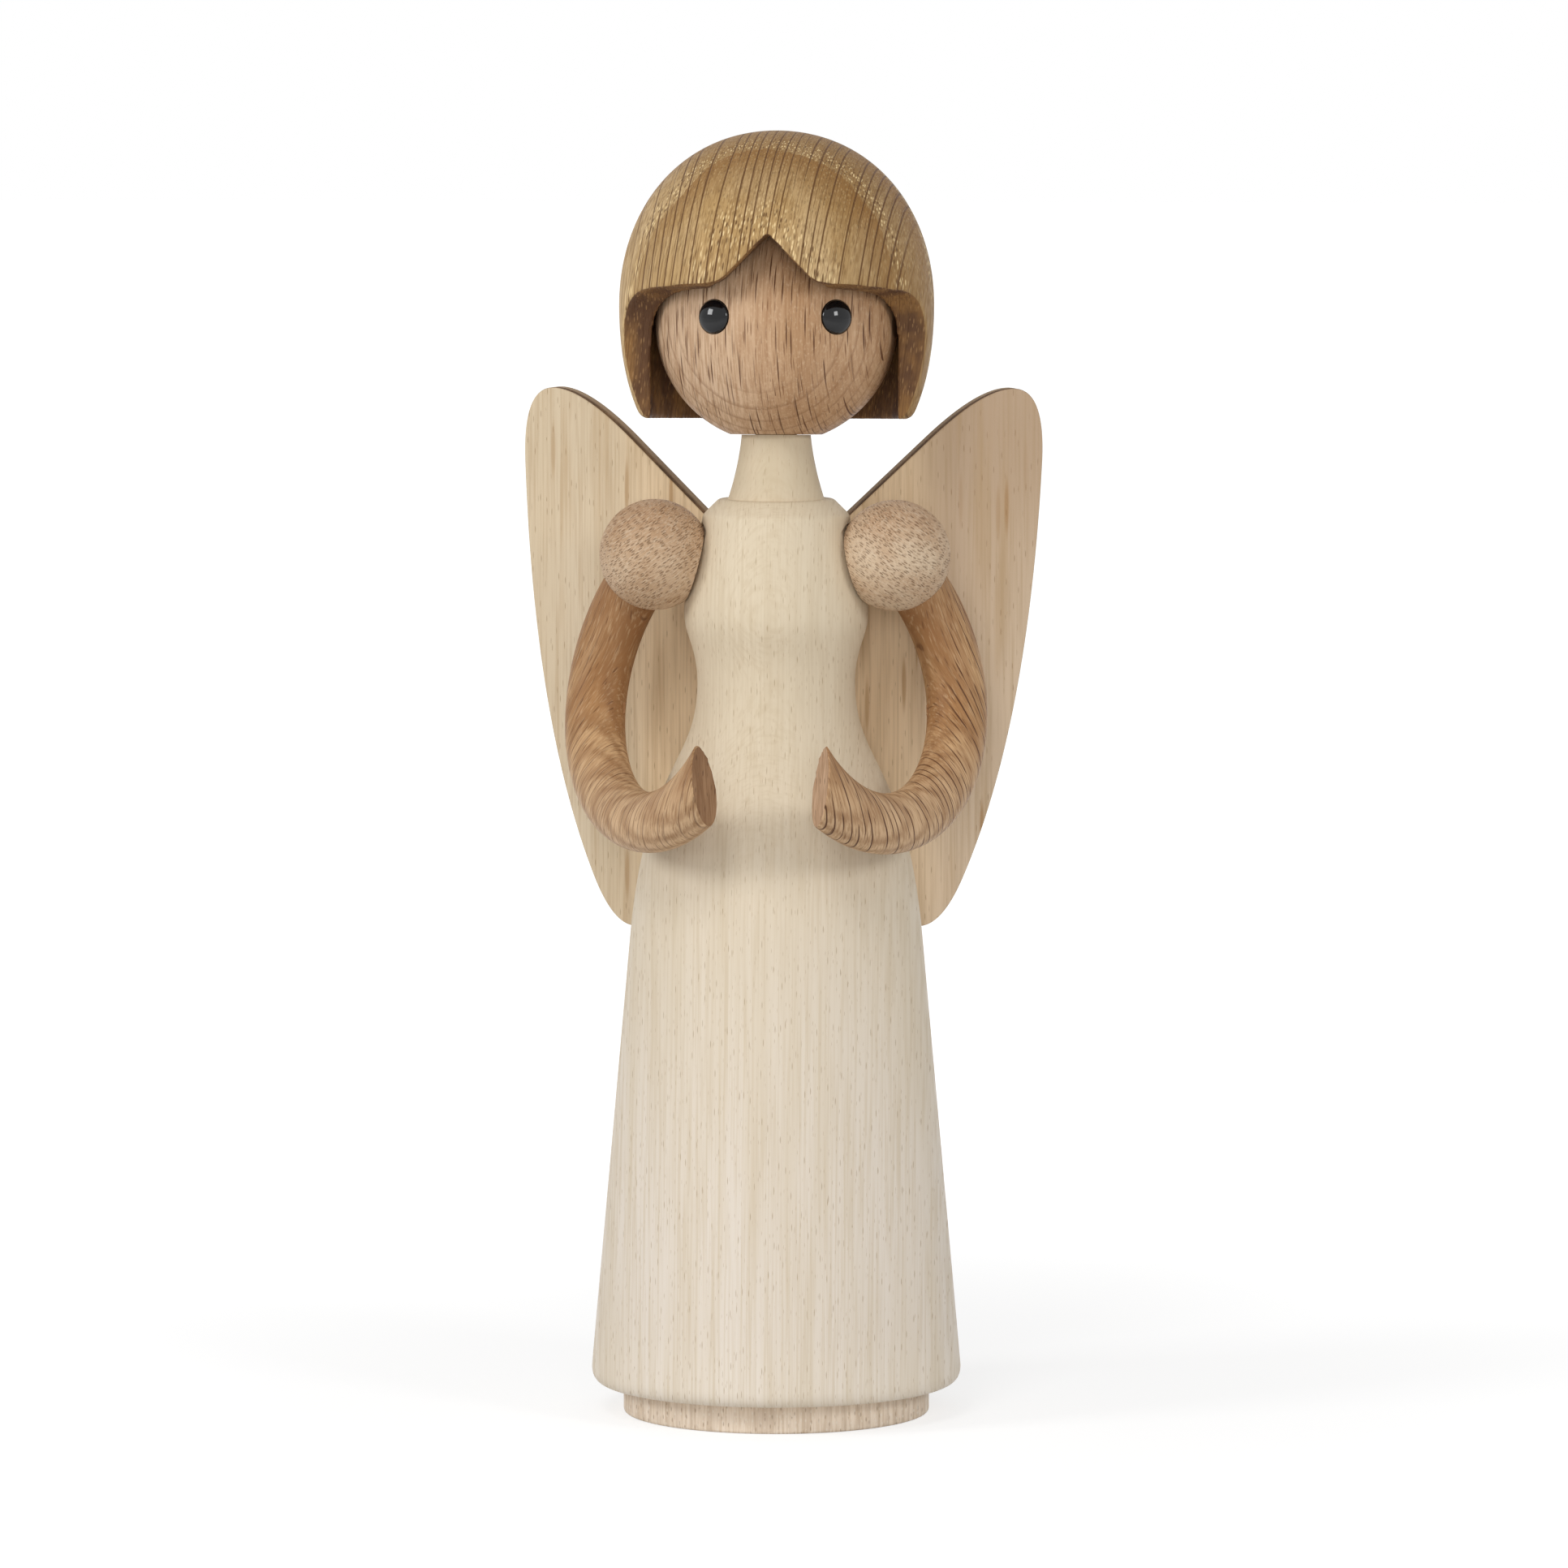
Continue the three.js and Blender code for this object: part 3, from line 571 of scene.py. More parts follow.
edge_wood = wing_edge_wood()
wing_woods = {
    "left": wing_wood("left", pith=(-20, -40, 0), pale=colour(217, 200, 173),
                      warm=colour(207, 186, 154), tip=colour(214, 195, 165)),
    # The right wing's browner, darker colours are partly its own wood and partly painted shade.
    "right": wing_wood("right", pith=(60, -45, 0), pale=colour(218, 196, 169),
                       warm=colour(206, 180, 150), tip=colour(174, 144, 115)),
}
wing_edge_ease = 0.25
wing_edge_steps = 3
flat_on = 0.9
edge_on = 0.5
for name, side in sides.items():
    wing, wing_place = wing_board(name + "_wing_board", side, 0)
    pick_faces(wing, lambda face: abs(face.normal.y) > flat_on)
    bpy.ops.mesh.bevel(offset=wing_edge_ease * mm, segments=wing_edge_steps, affect="EDGES")
    bpy.ops.object.mode_set(mode="OBJECT")
    clothe(wing, wing_woods[name], "figure", "wing_board", name + "_wing")
    face_with(wing, edge_wood, lambda face: abs(face.normal.y) < edge_on)
    settle(wing, wing_place)
    polish(wing)


# Shoulders: beech balls, turned alike, with a sanded flat toward the torso, bored for the dowel
# that they turn on and for the plug of the arm.
def ball_outline(radius, flat_radius, steps):
    """Half the section of a ball with a flat at its foot."""
    first = -math.acos(flat_radius / radius)
    angles = [first + (math.pi / 2 - first) * step / steps for step in range(steps + 1)]
    low = radius * math.sin(first)
    return [(0, low)] + [(max(0, radius * math.cos(a)), radius * math.sin(a)) for a in angles]


def ball_wood(side_name, side, pale, brown):
    wood, tree, place = timber("dotted beech of the " + side_name + " ball",
                               pith=(side * 10, -40, 120), lean=(0, -55 * side, 0))
    height = make(tree, "SeparateXYZ", {0: make(tree, "TexCoord").outputs["Object"]}).outputs["Z"]
    dot = dashes(tree, place, cell=(0.3, 0.7, 1.3), reach=0.33, stray=0.75)
    fine = dashes(tree, place, cell=(0.24, 0.5, 0.9), reach=0.3, stray=0.85)
    fibre = cloud(tree, place, cell=(0.18, 0.4, 1.6), detail=3)
    patch = cloud(tree, place, cell=(4, 4, 7))
    tone = tint(tree, share(tree, patch, 0.3, 0.7), pale, brown)
    tone = tint(tree, share(tree, height, 124 * mm, 132 * mm, top=0.4), tone, colour(164, 122, 86))
    tone = tint(tree, share(tree, fibre, 0.42, 0.72, top=0.42), tone, colour(226, 207, 181))
    tone = tint(tree, reckon(tree, "MULTIPLY", dot, 0.62), tone, colour(126, 89, 58))
    tone = tint(tree, reckon(tree, "MULTIPLY", fine, 0.4), tone, colour(142, 105, 73))
    relief = reckon(tree, "SUBTRACT", fibre, reckon(tree, "MULTIPLY", dot, 1.6))
    finish(tree, tone, share(tree, fibre, 0.2, 0.8, bottom=0.46, top=0.62), relief, depth=0.1)
    return wood


def twin(piece, name):
    """A second piece like the first, with a mesh of its own."""
    second = piece.copy()
    second.data = piece.data.copy()
    second.name = second.data.name = name
    bpy.context.collection.objects.link(second)
    return second


ball_woods = {
    "left": ball_wood("left", -1, pale=colour(199, 170, 139), brown=colour(182, 149, 116)),
    "right": ball_wood("right", 1, pale=colour(210, 186, 157), brown=colour(194, 164, 133)),
}
first_ball = turn("left_turned_ball", ball_outline(ball_radius, ball_flat_radius, steps=48), rounds=96)
balls = {"left": first_ball, "right": twin(first_ball, "right_turned_ball")}
arm_radius = 4.36
arm_plug = 4
arm_straight = 2
arm_ring = 20.8
arm_swing = math.radians(29.5)
arm_splay = math.radians(12.7)
arm_twist = math.radians(20.4)
arm_place = {}
for name, side in sides.items():
    hang = Matrix.Rotation(arm_swing, 4, "X") @ Matrix.Rotation(-side * arm_splay, 4, "Y")
    arm_place[name] = shoulder_place[name] @ hang @ Matrix.Rotation(-side * arm_twist, 4, "Z")
    ball = balls[name]
    settle(ball, ball_place[name])
    bore_end = shoulder_dowel_outer + tight
    cut(ball, drill(shoulder_dowel_radius + tight, -2 * ball_radius, bore_end, ball_place[name]))
    cut(ball, drill(arm_radius + tight / 2, -2 * ball_radius, tight - arm_plug, arm_place[name]))
    polish(ball)
    clothe(ball, ball_woods[name], name + "_arm_and_ball", "ball_wood", name + "_shoulder_ball")


# Arms: half rings of round beech, bent alike and plugged into the balls, the hand end cut on a slant
# so that the two cuts face each other in front of the figure.
def rays(tree, place, apart, thick, length, broken=0.38):
    """Thin rays side by side across the grain, that far apart, each broken into lengths of its own."""
    wander = 2
    row_step = 7.3
    fade = 0.18
    gone = -0.05
    soft = 0.03
    where = make(tree, "SeparateXYZ", {0: place}).outputs
    drift = reckon(tree, "MULTIPLY", cloud(tree, place, cell=(6 * apart, 60, 3 * length)), wander)
    count = reckon(tree, "ADD", reckon(tree, "DIVIDE", where["X"], apart), drift)
    aside = reckon(tree, "ABSOLUTE", reckon(tree, "SUBTRACT", reckon(tree, "FRACT", count), 0.5))
    row = reckon(tree, "MULTIPLY", reckon(tree, "FLOOR", count), row_step)
    spot = make(tree, "CombineXYZ", {0: row, 1: reckon(tree, "DIVIDE", where["Z"], length)}).outputs[0]
    stray = make(tree, "TexNoise", {"Vector": spot, "Scale": 1.0, "Detail": 1.0}).outputs[0]
    half = share(tree, stray, broken, broken + fade, bottom=gone, top=thick / apart / 2)
    return share(tree, reckon(tree, "SUBTRACT", aside, half), soft, -soft)


def arm_wood(side_name, side, marked, inner_shade):
    wood, tree, place = timber("beech of the " + side_name + " arm",
                               pith=(side * 40, -60, 100), lean=(-14.5, -20.5 * side, 36.75 * side))
    where = make(tree, "SeparateXYZ", {0: make(tree, "TexCoord").outputs["Object"]}).outputs
    aside = reckon(tree, "ABSOLUTE", where["X"])
    lower = share(tree, where["Z"], 100 * mm, 94 * mm)
    upper = share(tree, where["Z"], 96 * mm, 104 * mm)
    outer = reckon(tree, "MAXIMUM", share(tree, aside, 23 * mm, 27 * mm), lower)
    inner = reckon(tree, "MULTIPLY", share(tree, aside, 26 * mm, 20 * mm), upper)
    fibre = cloud(tree, place, cell=(0.22, 1.4, 7), detail=3)
    gleam = cloud(tree, place, cell=(0.2, 0.6, 3), detail=3)
    ring = reckon(tree, "PINGPONG", years(tree, place, width=2.4, waver=(10, 10, 30), amount=0.8), 0.5)
    ray = reckon(tree, "MULTIPLY", rays(tree, place, apart=1.05, thick=0.17, length=6, broken=0.36), outer)
    short = dashes(tree, place, cell=(0.6, 3, 6), reach=0.16)
    patch = cloud(tree, place, cell=(4, 7, 16), detail=3)
    tone = tint(tree, share(tree, patch, 0.35, 0.65), colour(200, 161, 117), colour(164, 121, 79))
    tone = tint(tree, share(tree, where["Z"], 102 * mm, 86 * mm, top=0.75), tone, colour(214, 182, 146))
    # Painted shade: the top of the arm is darkened under the ball.
    tone = tint(tree, share(tree, where["Z"], 106 * mm, 118 * mm, top=0.5), tone, colour(146, 104, 66))
    # Painted shade on the inner upper side of the arm, next to the body.
    tone = tint(tree, reckon(tree, "MULTIPLY", inner, inner_shade), tone, colour(126, 83, 48))
    tone = tint(tree, share(tree, ring, 0.1, 0.5, top=0.45), tone, colour(136, 94, 58))
    tone = tint(tree, share(tree, fibre, 0.38, 0.7, top=0.6), tone, colour(140, 100, 63))
    tone = tint(tree, share(tree, gleam, 0.5, 0.74, top=0.32), tone, colour(222, 192, 152))
    tone = tint(tree, reckon(tree, "MULTIPLY", short, 0.7), tone, colour(96, 60, 35))
    tone = tint(tree, reckon(tree, "MULTIPLY", ray, marked), tone, colour(84, 51, 30))
    relief = reckon(tree, "SUBTRACT", fibre, ray)
    finish(tree, tone, share(tree, fibre, 0.2, 0.8, bottom=0.44, top=0.6), relief, depth=0.06)
    return wood


def palm_wood(side_name, pale, brown):
    wood, tree, place = timber("sawn hand of the " + side_name + " arm", pith=(0, -60, 0))
    fibre = cloud(tree, place, cell=(0.3, 0.5, 6), detail=3)
    patch = cloud(tree, place, cell=(2, 2, 6))
    fleck = dashes(tree, place, cell=(0.7, 2, 4), reach=0.15)
    tone = tint(tree, share(tree, patch, 0.3, 0.7), pale, brown)
    tone = tint(tree, share(tree, fibre, 0.38, 0.72, top=0.5), tone, colour(116, 82, 54))
    tone = tint(tree, reckon(tree, "MULTIPLY", fleck, 0.6), tone, colour(84, 54, 34))
    finish(tree, tone, share(tree, fibre, 0.2, 0.8, bottom=0.5, top=0.66), fibre, depth=0.05)
    return wood


# The left palm's darker colours are painted shade and the right palm's lighter colours painted light: the
# same beech, the right cut facing the lamps on the left.
palms = {
    "left": palm_wood("left", pale=colour(166, 128, 94), brown=colour(142, 104, 72)),
    "right": palm_wood("right", pale=colour(206, 171, 139), brown=colour(184, 147, 115)),
}
arm_marking = {"left": 0.4, "right": 0.95}
# How strongly painted shade darkens the inner upper side of each arm.
arm_inner_shade = {"left": 0.6, "right": 0.25}
arm_facets = 64
arm_bend = math.radians(198)
arm_bend_steps = 96
hand_height = 93.3
hand_angle = math.radians(15.7)
hand_lean = math.radians(4.5)
hand_ease = 0.2
square_on = 0.999
bpy.ops.object.select_all(action="DESELECT")
bpy.ops.mesh.primitive_circle_add(vertices=arm_facets, radius=arm_radius * mm, fill_type="NGON",
                                  location=(0, 0, -arm_plug * mm))
first_arm = bpy.context.object
first_arm.name = first_arm.data.name = "left_bent_arm"
bpy.ops.object.transform_apply()
bpy.ops.object.mode_set(mode="EDIT")
bpy.ops.mesh.select_all(action="SELECT")
bpy.ops.mesh.extrude_region_move(TRANSFORM_OT_translate={"value": (0, 0, -arm_straight * mm)})
ring_middle = Vector((0, -arm_ring, -arm_plug - arm_straight)) * mm
bpy.ops.mesh.spin(steps=arm_bend_steps, angle=arm_bend, center=ring_middle, axis=(1, 0, 0))
close_up()
arms = {"left": first_arm, "right": twin(first_arm, "right_bent_arm")}
for name, side in sides.items():
    arm = arms[name]
    settle(arm, arm_place[name])
    turned_cut = Matrix.Rotation(side * hand_angle, 3, "Z") @ Matrix.Rotation(side * hand_lean, 3, "Y")
    inward = turned_cut @ Vector((-side, 0, 0))
    bpy.ops.object.mode_set(mode="EDIT")
    bpy.ops.mesh.select_all(action="SELECT")
    bpy.ops.mesh.bisect(plane_co=(0, 0, hand_height * mm), plane_no=inward, use_fill=True, clear_outer=True)
    bpy.ops.object.mode_set(mode="OBJECT")
    pick_faces(arm, lambda face: face.normal.dot(inward) > square_on)
    bpy.ops.mesh.inset(thickness=hand_ease * mm, depth=0)
    bpy.ops.transform.translate(value=inward * hand_ease * mm)
    bpy.ops.object.mode_set(mode="OBJECT")
    polish(arm)
    wood = arm_wood(name, side, arm_marking[name], arm_inner_shade[name])
    clothe(arm, wood, name + "_arm_and_ball", "arm_beech", name + "_arm")
    face_with(arm, palms[name], lambda face: face.normal.dot(inward) > square_on)


# Head: a turned beech ball with a small flat on the neck, tilted to look up a little.
# It is bored for the dowels of neck and hair, and its face for the eyes.
head_radius = 17.5
head_flat_radius = 6.6
head_seated_radius = 6.7
head_rise = fit + math.sqrt(head_radius ** 2 - head_seated_radius ** 2)
head_bore_depth = 11
hair_dowel_radius = 2.5
hair_dowel_depth = 6
crown = head_rise + head_radius
eye_radius = 2.42
eye_turn = math.radians(30.3)
eye_lift = math.radians(1.8)
face_turn = math.radians(3)
eye_sink = 0.6
eye_pin_radius = 0.8
eye_pin_length = 6
eye_rim = math.sqrt(head_radius ** 2 - eye_radius ** 2)
head = turn("turned_head", ball_outline(head_radius, head_flat_radius, steps=72), rounds=144)
head_middle = head_place @ Matrix.Translation((0, 0, head_rise * mm))
settle(head, head_middle)
cut(head, drill(neck_dowel_radius + tight, -clear, fit + head_bore_depth + tight, head_place))
cut(head, drill(hair_dowel_radius + tight, crown - hair_dowel_depth - tight, crown + clear, head_place))
eye_place = {}
socket_floor = eye_rim - eye_sink - tight
pin_end = socket_floor - eye_pin_length
for name, side in sides.items():
    aside = Matrix.Rotation(face_turn + side * eye_turn, 4, "Z")
    look = aside @ Matrix.Rotation(math.pi / 2 - eye_lift, 4, "X")
    eye_place[name] = head_middle @ look
    cut(head, drill(eye_radius + tight, socket_floor, head_radius + clear, eye_place[name]))
    cut(head, drill(eye_pin_radius + tight, pin_end, socket_floor + tight, eye_place[name]))
polish(head)


def head_wood():
    wood, tree, place = timber("beech of the head", pith=(-7, -59, 166), lean=(-8, 0, -7))
    where = make(tree, "SeparateXYZ", {0: place}).outputs
    ring = years(tree, place, width=2.3, waver=(14, 14, 30), amount=0.5)
    line = reckon(tree, "MULTIPLY", year_lines(tree, ring, start=0.68), share(tree, where["Y"], 46, 49))
    fibre = cloud(tree, place, cell=(0.25, 2, 8), detail=3)
    streak = cloud(tree, place, cell=(0.9, 5, 16), detail=2)
    grit = cloud(tree, place, cell=(0.3, 0.3, 0.7))
    fleck = dashes(tree, place, cell=(0.62, 9, 15), reach=0.2)
    short = dashes(tree, place, cell=(0.6, 5, 8), reach=0.16)
    patch = cloud(tree, place, cell=(8, 8, 16))
    tone = tint(tree, share(tree, patch, 0.3, 0.7), colour(199, 163, 128), colour(183, 145, 108))
    # Painted light: the left side of the face is lightened, toward the stronger lamps.
    tone = tint(tree, share(tree, where["X"], 4, -8, top=0.7), tone, colour(222, 194, 164))
    tone = tint(tree, share(tree, streak, 0.42, 0.7, top=0.35), tone, colour(166, 125, 88))
    tone = tint(tree, reckon(tree, "MULTIPLY", line, 0.42), tone, colour(128, 88, 58))
    tone = tint(tree, share(tree, fibre, 0.36, 0.68, top=0.55), tone, colour(158, 117, 81))
    tone = tint(tree, share(tree, grit, 0.5, 0.75, top=0.4), tone, colour(218, 188, 155))
    tone = tint(tree, reckon(tree, "MULTIPLY", fleck, 0.95), tone, colour(82, 47, 25))
    tone = tint(tree, reckon(tree, "MULTIPLY", short, 0.75), tone, colour(104, 66, 40))
    relief = reckon(tree, "SUBTRACT", fibre, fleck)
    finish(tree, tone, share(tree, fibre, 0.2, 0.8, bottom=0.44, top=0.6), relief, depth=0.06)
    return wood


clothe(head, head_wood(), "head", "head_beech", "head_ball")


# Eyes: glossy black domed beads, turned alike on pins of their own,
# pressed into the sockets of the face up to their rims.
def bead_black():
    black = bpy.data.materials.new("black bead")
    black.use_nodes = True
    tree = black.node_tree
    spot = make(tree, "TexCoord").outputs["Object"]
    place = make(tree, "Mapping", {"Vector": spot, "Scale": [1 / mm] * 3}).outputs[0]
    haze = cloud(tree, place, cell=(0.6, 0.6, 0.6), detail=4)
    tone = tint(tree, share(tree, haze, 0.3, 0.7), colour(7, 7, 9), colour(13, 13, 16))
    finish(tree, tone, share(tree, haze, 0.3, 0.7, bottom=0.03, top=0.07), haze, depth=0.001, sheen=0.4)
    return black


eye_dome = 1.1
eye_dome_steps = 20
eye_back = eye_rim - eye_sink
pin_back = eye_back - eye_pin_length
outline = [(0, pin_back), (eye_pin_radius, pin_back), (eye_pin_radius, eye_back)]
outline += [(eye_radius, eye_back), (eye_radius, eye_rim)]
for step in range(1, eye_dome_steps + 1):
    lift = math.pi / 2 * step / eye_dome_steps
    outline.append((max(0, eye_radius * math.cos(lift)), eye_rim + eye_dome * math.sin(lift)))
first_eye = turn("left_bead_eye", outline, rounds=64)
eyes = {"left": first_eye, "right": twin(first_eye, "right_bead_eye")}
beads = bead_black()
for name, eye in eyes.items():
    settle(eye, eye_place[name])
    polish(eye, crease=50)
    clothe(eye, beads, "head", "black_bead", name + "_eye")


# Hair: an oak cap turned round outside and bored out for the head, then sawn open in front with a coved
# cut that leaves a fringe and two side locks, and notched with a V for the parting. Its edges are sanded
# round, and a dowel in the crown holds it on the head.
hair_side_gap = 0.9
hair_wall = 4.3
hair_bore = head_radius + hair_side_gap
hair_radius = hair_bore + hair_wall
hair_drop = 14
hair_bottom = head_rise - hair_drop
hair_bulge_rise = 2.4
hair_bulge = head_rise + hair_bulge_rise
hair_crown = 9.7
hair_top = crown + fit + hair_crown
hair_tuck = 3.2
hair_lean = math.tan(math.radians(23.3))
hair_edge = 1.2
hair_fullness = 0.58
hem_hair = hair_radius - hair_tuck
dome_middle = crown + fit - hair_bore
dome_steps = 32
outline = []
for step in range(dome_steps + 1):
    fall = math.pi / 2 * step / dome_steps
    outline.append((hair_bore * math.sin(fall), dome_middle + hair_bore * math.cos(fall)))
outline += [(hair_bore, hair_bottom), (hem_hair - hair_edge, hair_bottom)]
bend(outline, (hem_hair, hair_bottom), (hem_hair + hair_edge * hair_lean, hair_bottom + hair_edge))
bend(outline, (hair_radius, hair_bottom + hair_tuck / hair_lean), (hair_radius, hair_bulge), steps=24)
sweep(outline, (hair_radius, hair_bulge + hair_fullness * (hair_top - hair_bulge)),
      (hair_fullness * hair_radius, hair_top), (0, hair_top), steps=40)
hair = turn("turned_hair", outline, rounds=160)

fringe_rise = 5.4
fringe = head_rise + fringe_rise
fringe_rake = math.tan(math.radians(7))
lock_front = 5.2
cove = {"left": 10, "right": 8}
beyond = 2 * hair_radius
cove_steps = 24
overlap = 0.001
for name, side in sides.items():
    cove_start = -lock_front - cove[name]
    cove_top = fringe - (hair_radius + cove_start) * fringe_rake
    section = [(-lock_front, head_rise - beyond), (-lock_front, cove_top - cove[name])]
    for step in range(1, cove_steps + 1):
        lift = math.pi / 2 * step / cove_steps
        drop = cove[name] * (1 - math.sin(lift))
        section.append((cove_start + cove[name] * math.cos(lift), cove_top - drop))
    section += [(-beyond, fringe + (beyond - hair_radius) * fringe_rake), (-beyond, head_rise - beyond)]
    points = [(-side * overlap, y, z) for y, z in section]
    cut(hair, sawn_block("face_opening", points, (side * beyond, 0, 0)))

parting_rise = 6.9
parting_half = 6.6
parting_ease = 1.2
leg = Vector((-parting_half, parting_rise)).normalized() * parting_ease
wide = parting_half + parting_ease
set_back = hair_radius - math.sqrt(hair_radius ** 2 - wide ** 2)
fringe_edge = fringe - set_back * fringe_rake
below = fringe_edge - parting_ease
notch = [(-wide - parting_ease, below), (wide + parting_ease, below), (wide, fringe_edge)]
bend(notch, (parting_half, fringe), (parting_half + leg.x, fringe + leg.y))
notch += [(0, fringe + parting_rise), (-parting_half - leg.x, fringe + leg.y)]
bend(notch, (-parting_half, fringe), (-wide, fringe_edge))
cut(hair, sawn_block("parting", [(x, 0, z) for x, z in notch], (0, -beyond, 0)))

sanding_grit = 0.36
sanding_strength = 0.5
sanding_passes = 6
bpy.ops.object.modifier_add(type="REMESH")
hair.modifiers[-1].mode = "VOXEL"
hair.modifiers[-1].voxel_size = sanding_grit * mm
bpy.ops.object.modifier_apply(modifier=hair.modifiers[-1].name)
bpy.ops.object.modifier_add(type="SMOOTH")
hair.modifiers[-1].factor = sanding_strength
hair.modifiers[-1].iterations = sanding_passes
bpy.ops.object.modifier_apply(modifier=hair.modifiers[-1].name)
bore_top = crown + fit + hair_dowel_depth + tight
cut(hair, drill(hair_dowel_radius + tight, crown, bore_top, Matrix.Identity(4)))


def hair_wood():
    wood, tree, place = timber("oak of the hair", pith=(-5, -64, 160), lean=(3, 7, -4))
    spots = make(tree, "TexCoord").outputs
    height = make(tree, "SeparateXYZ", {0: place}).outputs["Z"]
    aside = make(tree, "SeparateXYZ", {0: spots["Object"]}).outputs["X"]
    front = share(tree, reckon(tree, "ABSOLUTE", aside), 21.5 * mm, 18 * mm)
    fibre = cloud(tree, place, cell=(0.22, 1.2, 10), detail=3)
    ragged = reckon(tree, "MULTIPLY", cloud(tree, place, cell=(0.5, 0.5, 5)), 0.12)
    year = years(tree, place, width=12, waver=(18, 18, 40), amount=0.6)
    ring = reckon(tree, "FRACT", reckon(tree, "ADD", year, ragged))
    spring = reckon(tree, "MULTIPLY", share(tree, ring, 0, 0.04), share(tree, ring, 0.4, 0.18))
    upper = share(tree, height, 1, 15, bottom=0.3)
    late = reckon(tree, "MULTIPLY", share(tree, ring, 0.4, 0.98, top=0.75), upper)
    ray = reckon(tree, "MULTIPLY", rays(tree, place, apart=1.3, thick=0.2, length=24, broken=0.31), front)
    thin_ray = reckon(tree, "MULTIPLY", rays(tree, place, apart=0.7, thick=0.1, length=11), front)
    pore = dashes(tree, place, cell=(0.36, 0.45, 2.8), reach=0.42, deep=0.7)
    hollow = dashes(tree, place, cell=(0.42, 0.5, 3.6), reach=0.4, deep=0.7)
    patch = cloud(tree, place, cell=(7, 7, 18))
    tone = tint(tree, share(tree, patch, 0.3, 0.7), colour(204, 174, 129), colour(186, 152, 102))
    # Painted shade: the top of the hair is darkened, as if no light fell from above.
    tone = tint(tree, share(tree, height, 9, 25, top=0.72), tone, colour(130, 91, 41))
    # Painted shade: the right side of the hair, away from the stronger lamps, is darkened.
    tone = tint(tree, share(tree, aside, 5 * mm, 19 * mm, top=0.55), tone, colour(124, 88, 46))
    tone = tint(tree, late, tone, colour(140, 98, 48))
    tone = tint(tree, share(tree, fibre, 0.38, 0.7, top=0.6), tone, colour(136, 103, 62))
    dark = reckon(tree, "MULTIPLY", hollow, share(tree, spring, 0, 1, bottom=0.3, top=0.9))
    tone = tint(tree, dark, tone, colour(96, 66, 38))
    gold = reckon(tree, "MULTIPLY", pore, share(tree, spring, 0, 1, bottom=0.2))
    tone = tint(tree, gold, tone, colour(238, 210, 158))
    tone = tint(tree, reckon(tree, "MULTIPLY", thin_ray, 0.55), tone, colour(108, 74, 42))
    tone = tint(tree, reckon(tree, "MULTIPLY", ray, 0.9), tone, colour(96, 63, 35))
    middle = head_place @ Vector((0, 0, hair_bulge * mm))
    tallness = 1.7
    turned_face, sawn_face = 0.82, 0.66
    inputs = {"Vector": spots["Object"], "Location": middle, "Scale": (1, 1, tallness)}
    outward = make(tree, "Mapping", inputs, vector_type="TEXTURE").outputs[0]
    facing = gauge(tree, "DOT_PRODUCT", gauge(tree, "NORMALIZE", outward), spots["Normal"])
    sawn = share(tree, facing, turned_face, sawn_face)
    blotch = cloud(tree, place, cell=(5, 5, 7), detail=3)
    pit = dashes(tree, place, cell=(0.5, 0.7, 2.4), reach=0.24)
    # The sawn faces and the inside of the cap get a darker colour: partly the sawn oak's own colour, partly
    # painted shade under the fringe and inside the cap.
    core = tint(tree, share(tree, blotch, 0.38, 0.62), colour(144, 106, 64), colour(96, 68, 48))
    core = tint(tree, share(tree, fibre, 0.35, 0.75, top=0.55), core, colour(84, 58, 40))
    core = tint(tree, reckon(tree, "MULTIPLY", pit, 0.5), core, colour(176, 138, 94))
    tone = tint(tree, sawn, tone, core)
    open_grain = reckon(tree, "ADD", ray, reckon(tree, "MULTIPLY", hollow, 0.8))
    relief = reckon(tree, "SUBTRACT", fibre, open_grain)
    finish(tree, tone, share(tree, fibre, 0.2, 0.8, bottom=0.44, top=0.6), relief, depth=0.08, sheen=0.14)
    return wood


clothe(hair, hair_wood(), "head", "hair_oak", "hair_cap")
settle(hair, head_place)
polish(hair, crease=60)


# Dowels: plain beech pins, cut from round stock and hidden in their bores,
# which join foot, neck, hair and shoulders.
def dowel_wood():
    wood, tree, place = timber("plain dowel", pith=(0, -12, 0))
    line = year_lines(tree, years(tree, place, width=1.5, waver=(8, 8, 30), amount=1), start=0.5)
    fibre = cloud(tree, place, cell=(0.25, 0.25, 4))
    tone = tint(tree, reckon(tree, "MULTIPLY", line, 0.6), colour(214, 184, 142), colour(186, 150, 108))
    tone = tint(tree, share(tree, fibre, 0.35, 0.75, top=0.4), tone, colour(176, 140, 98))
    finish(tree, tone, share(tree, fibre, 0.2, 0.8, bottom=0.6, top=0.75), fibre, depth=0.03)
    return wood


plain = dowel_wood()
for node in ("foot_dowel", "neck_dowel", "hair_dowel", "left_shoulder_dowel", "right_shoulder_dowel"):
    frame["nodes"][node].data.materials.clear()
    frame["nodes"][node].data.materials.append(plain)


# Studio: a white floor that keeps the figure's shadow, a white surround, and soft lamps in front,
# the stronger ones to the left.
def background(tree):
    """1 where a camera, a gloss or a glass looks at the surface, and 0 where only light falls on it."""
    seen = make(tree, "LightPath").outputs
    mirrored = reckon(tree, "MAXIMUM", seen["Is Glossy Ray"], seen["Is Transmission Ray"])
    return reckon(tree, "MAXIMUM", seen["Is Camera Ray"], mirrored)


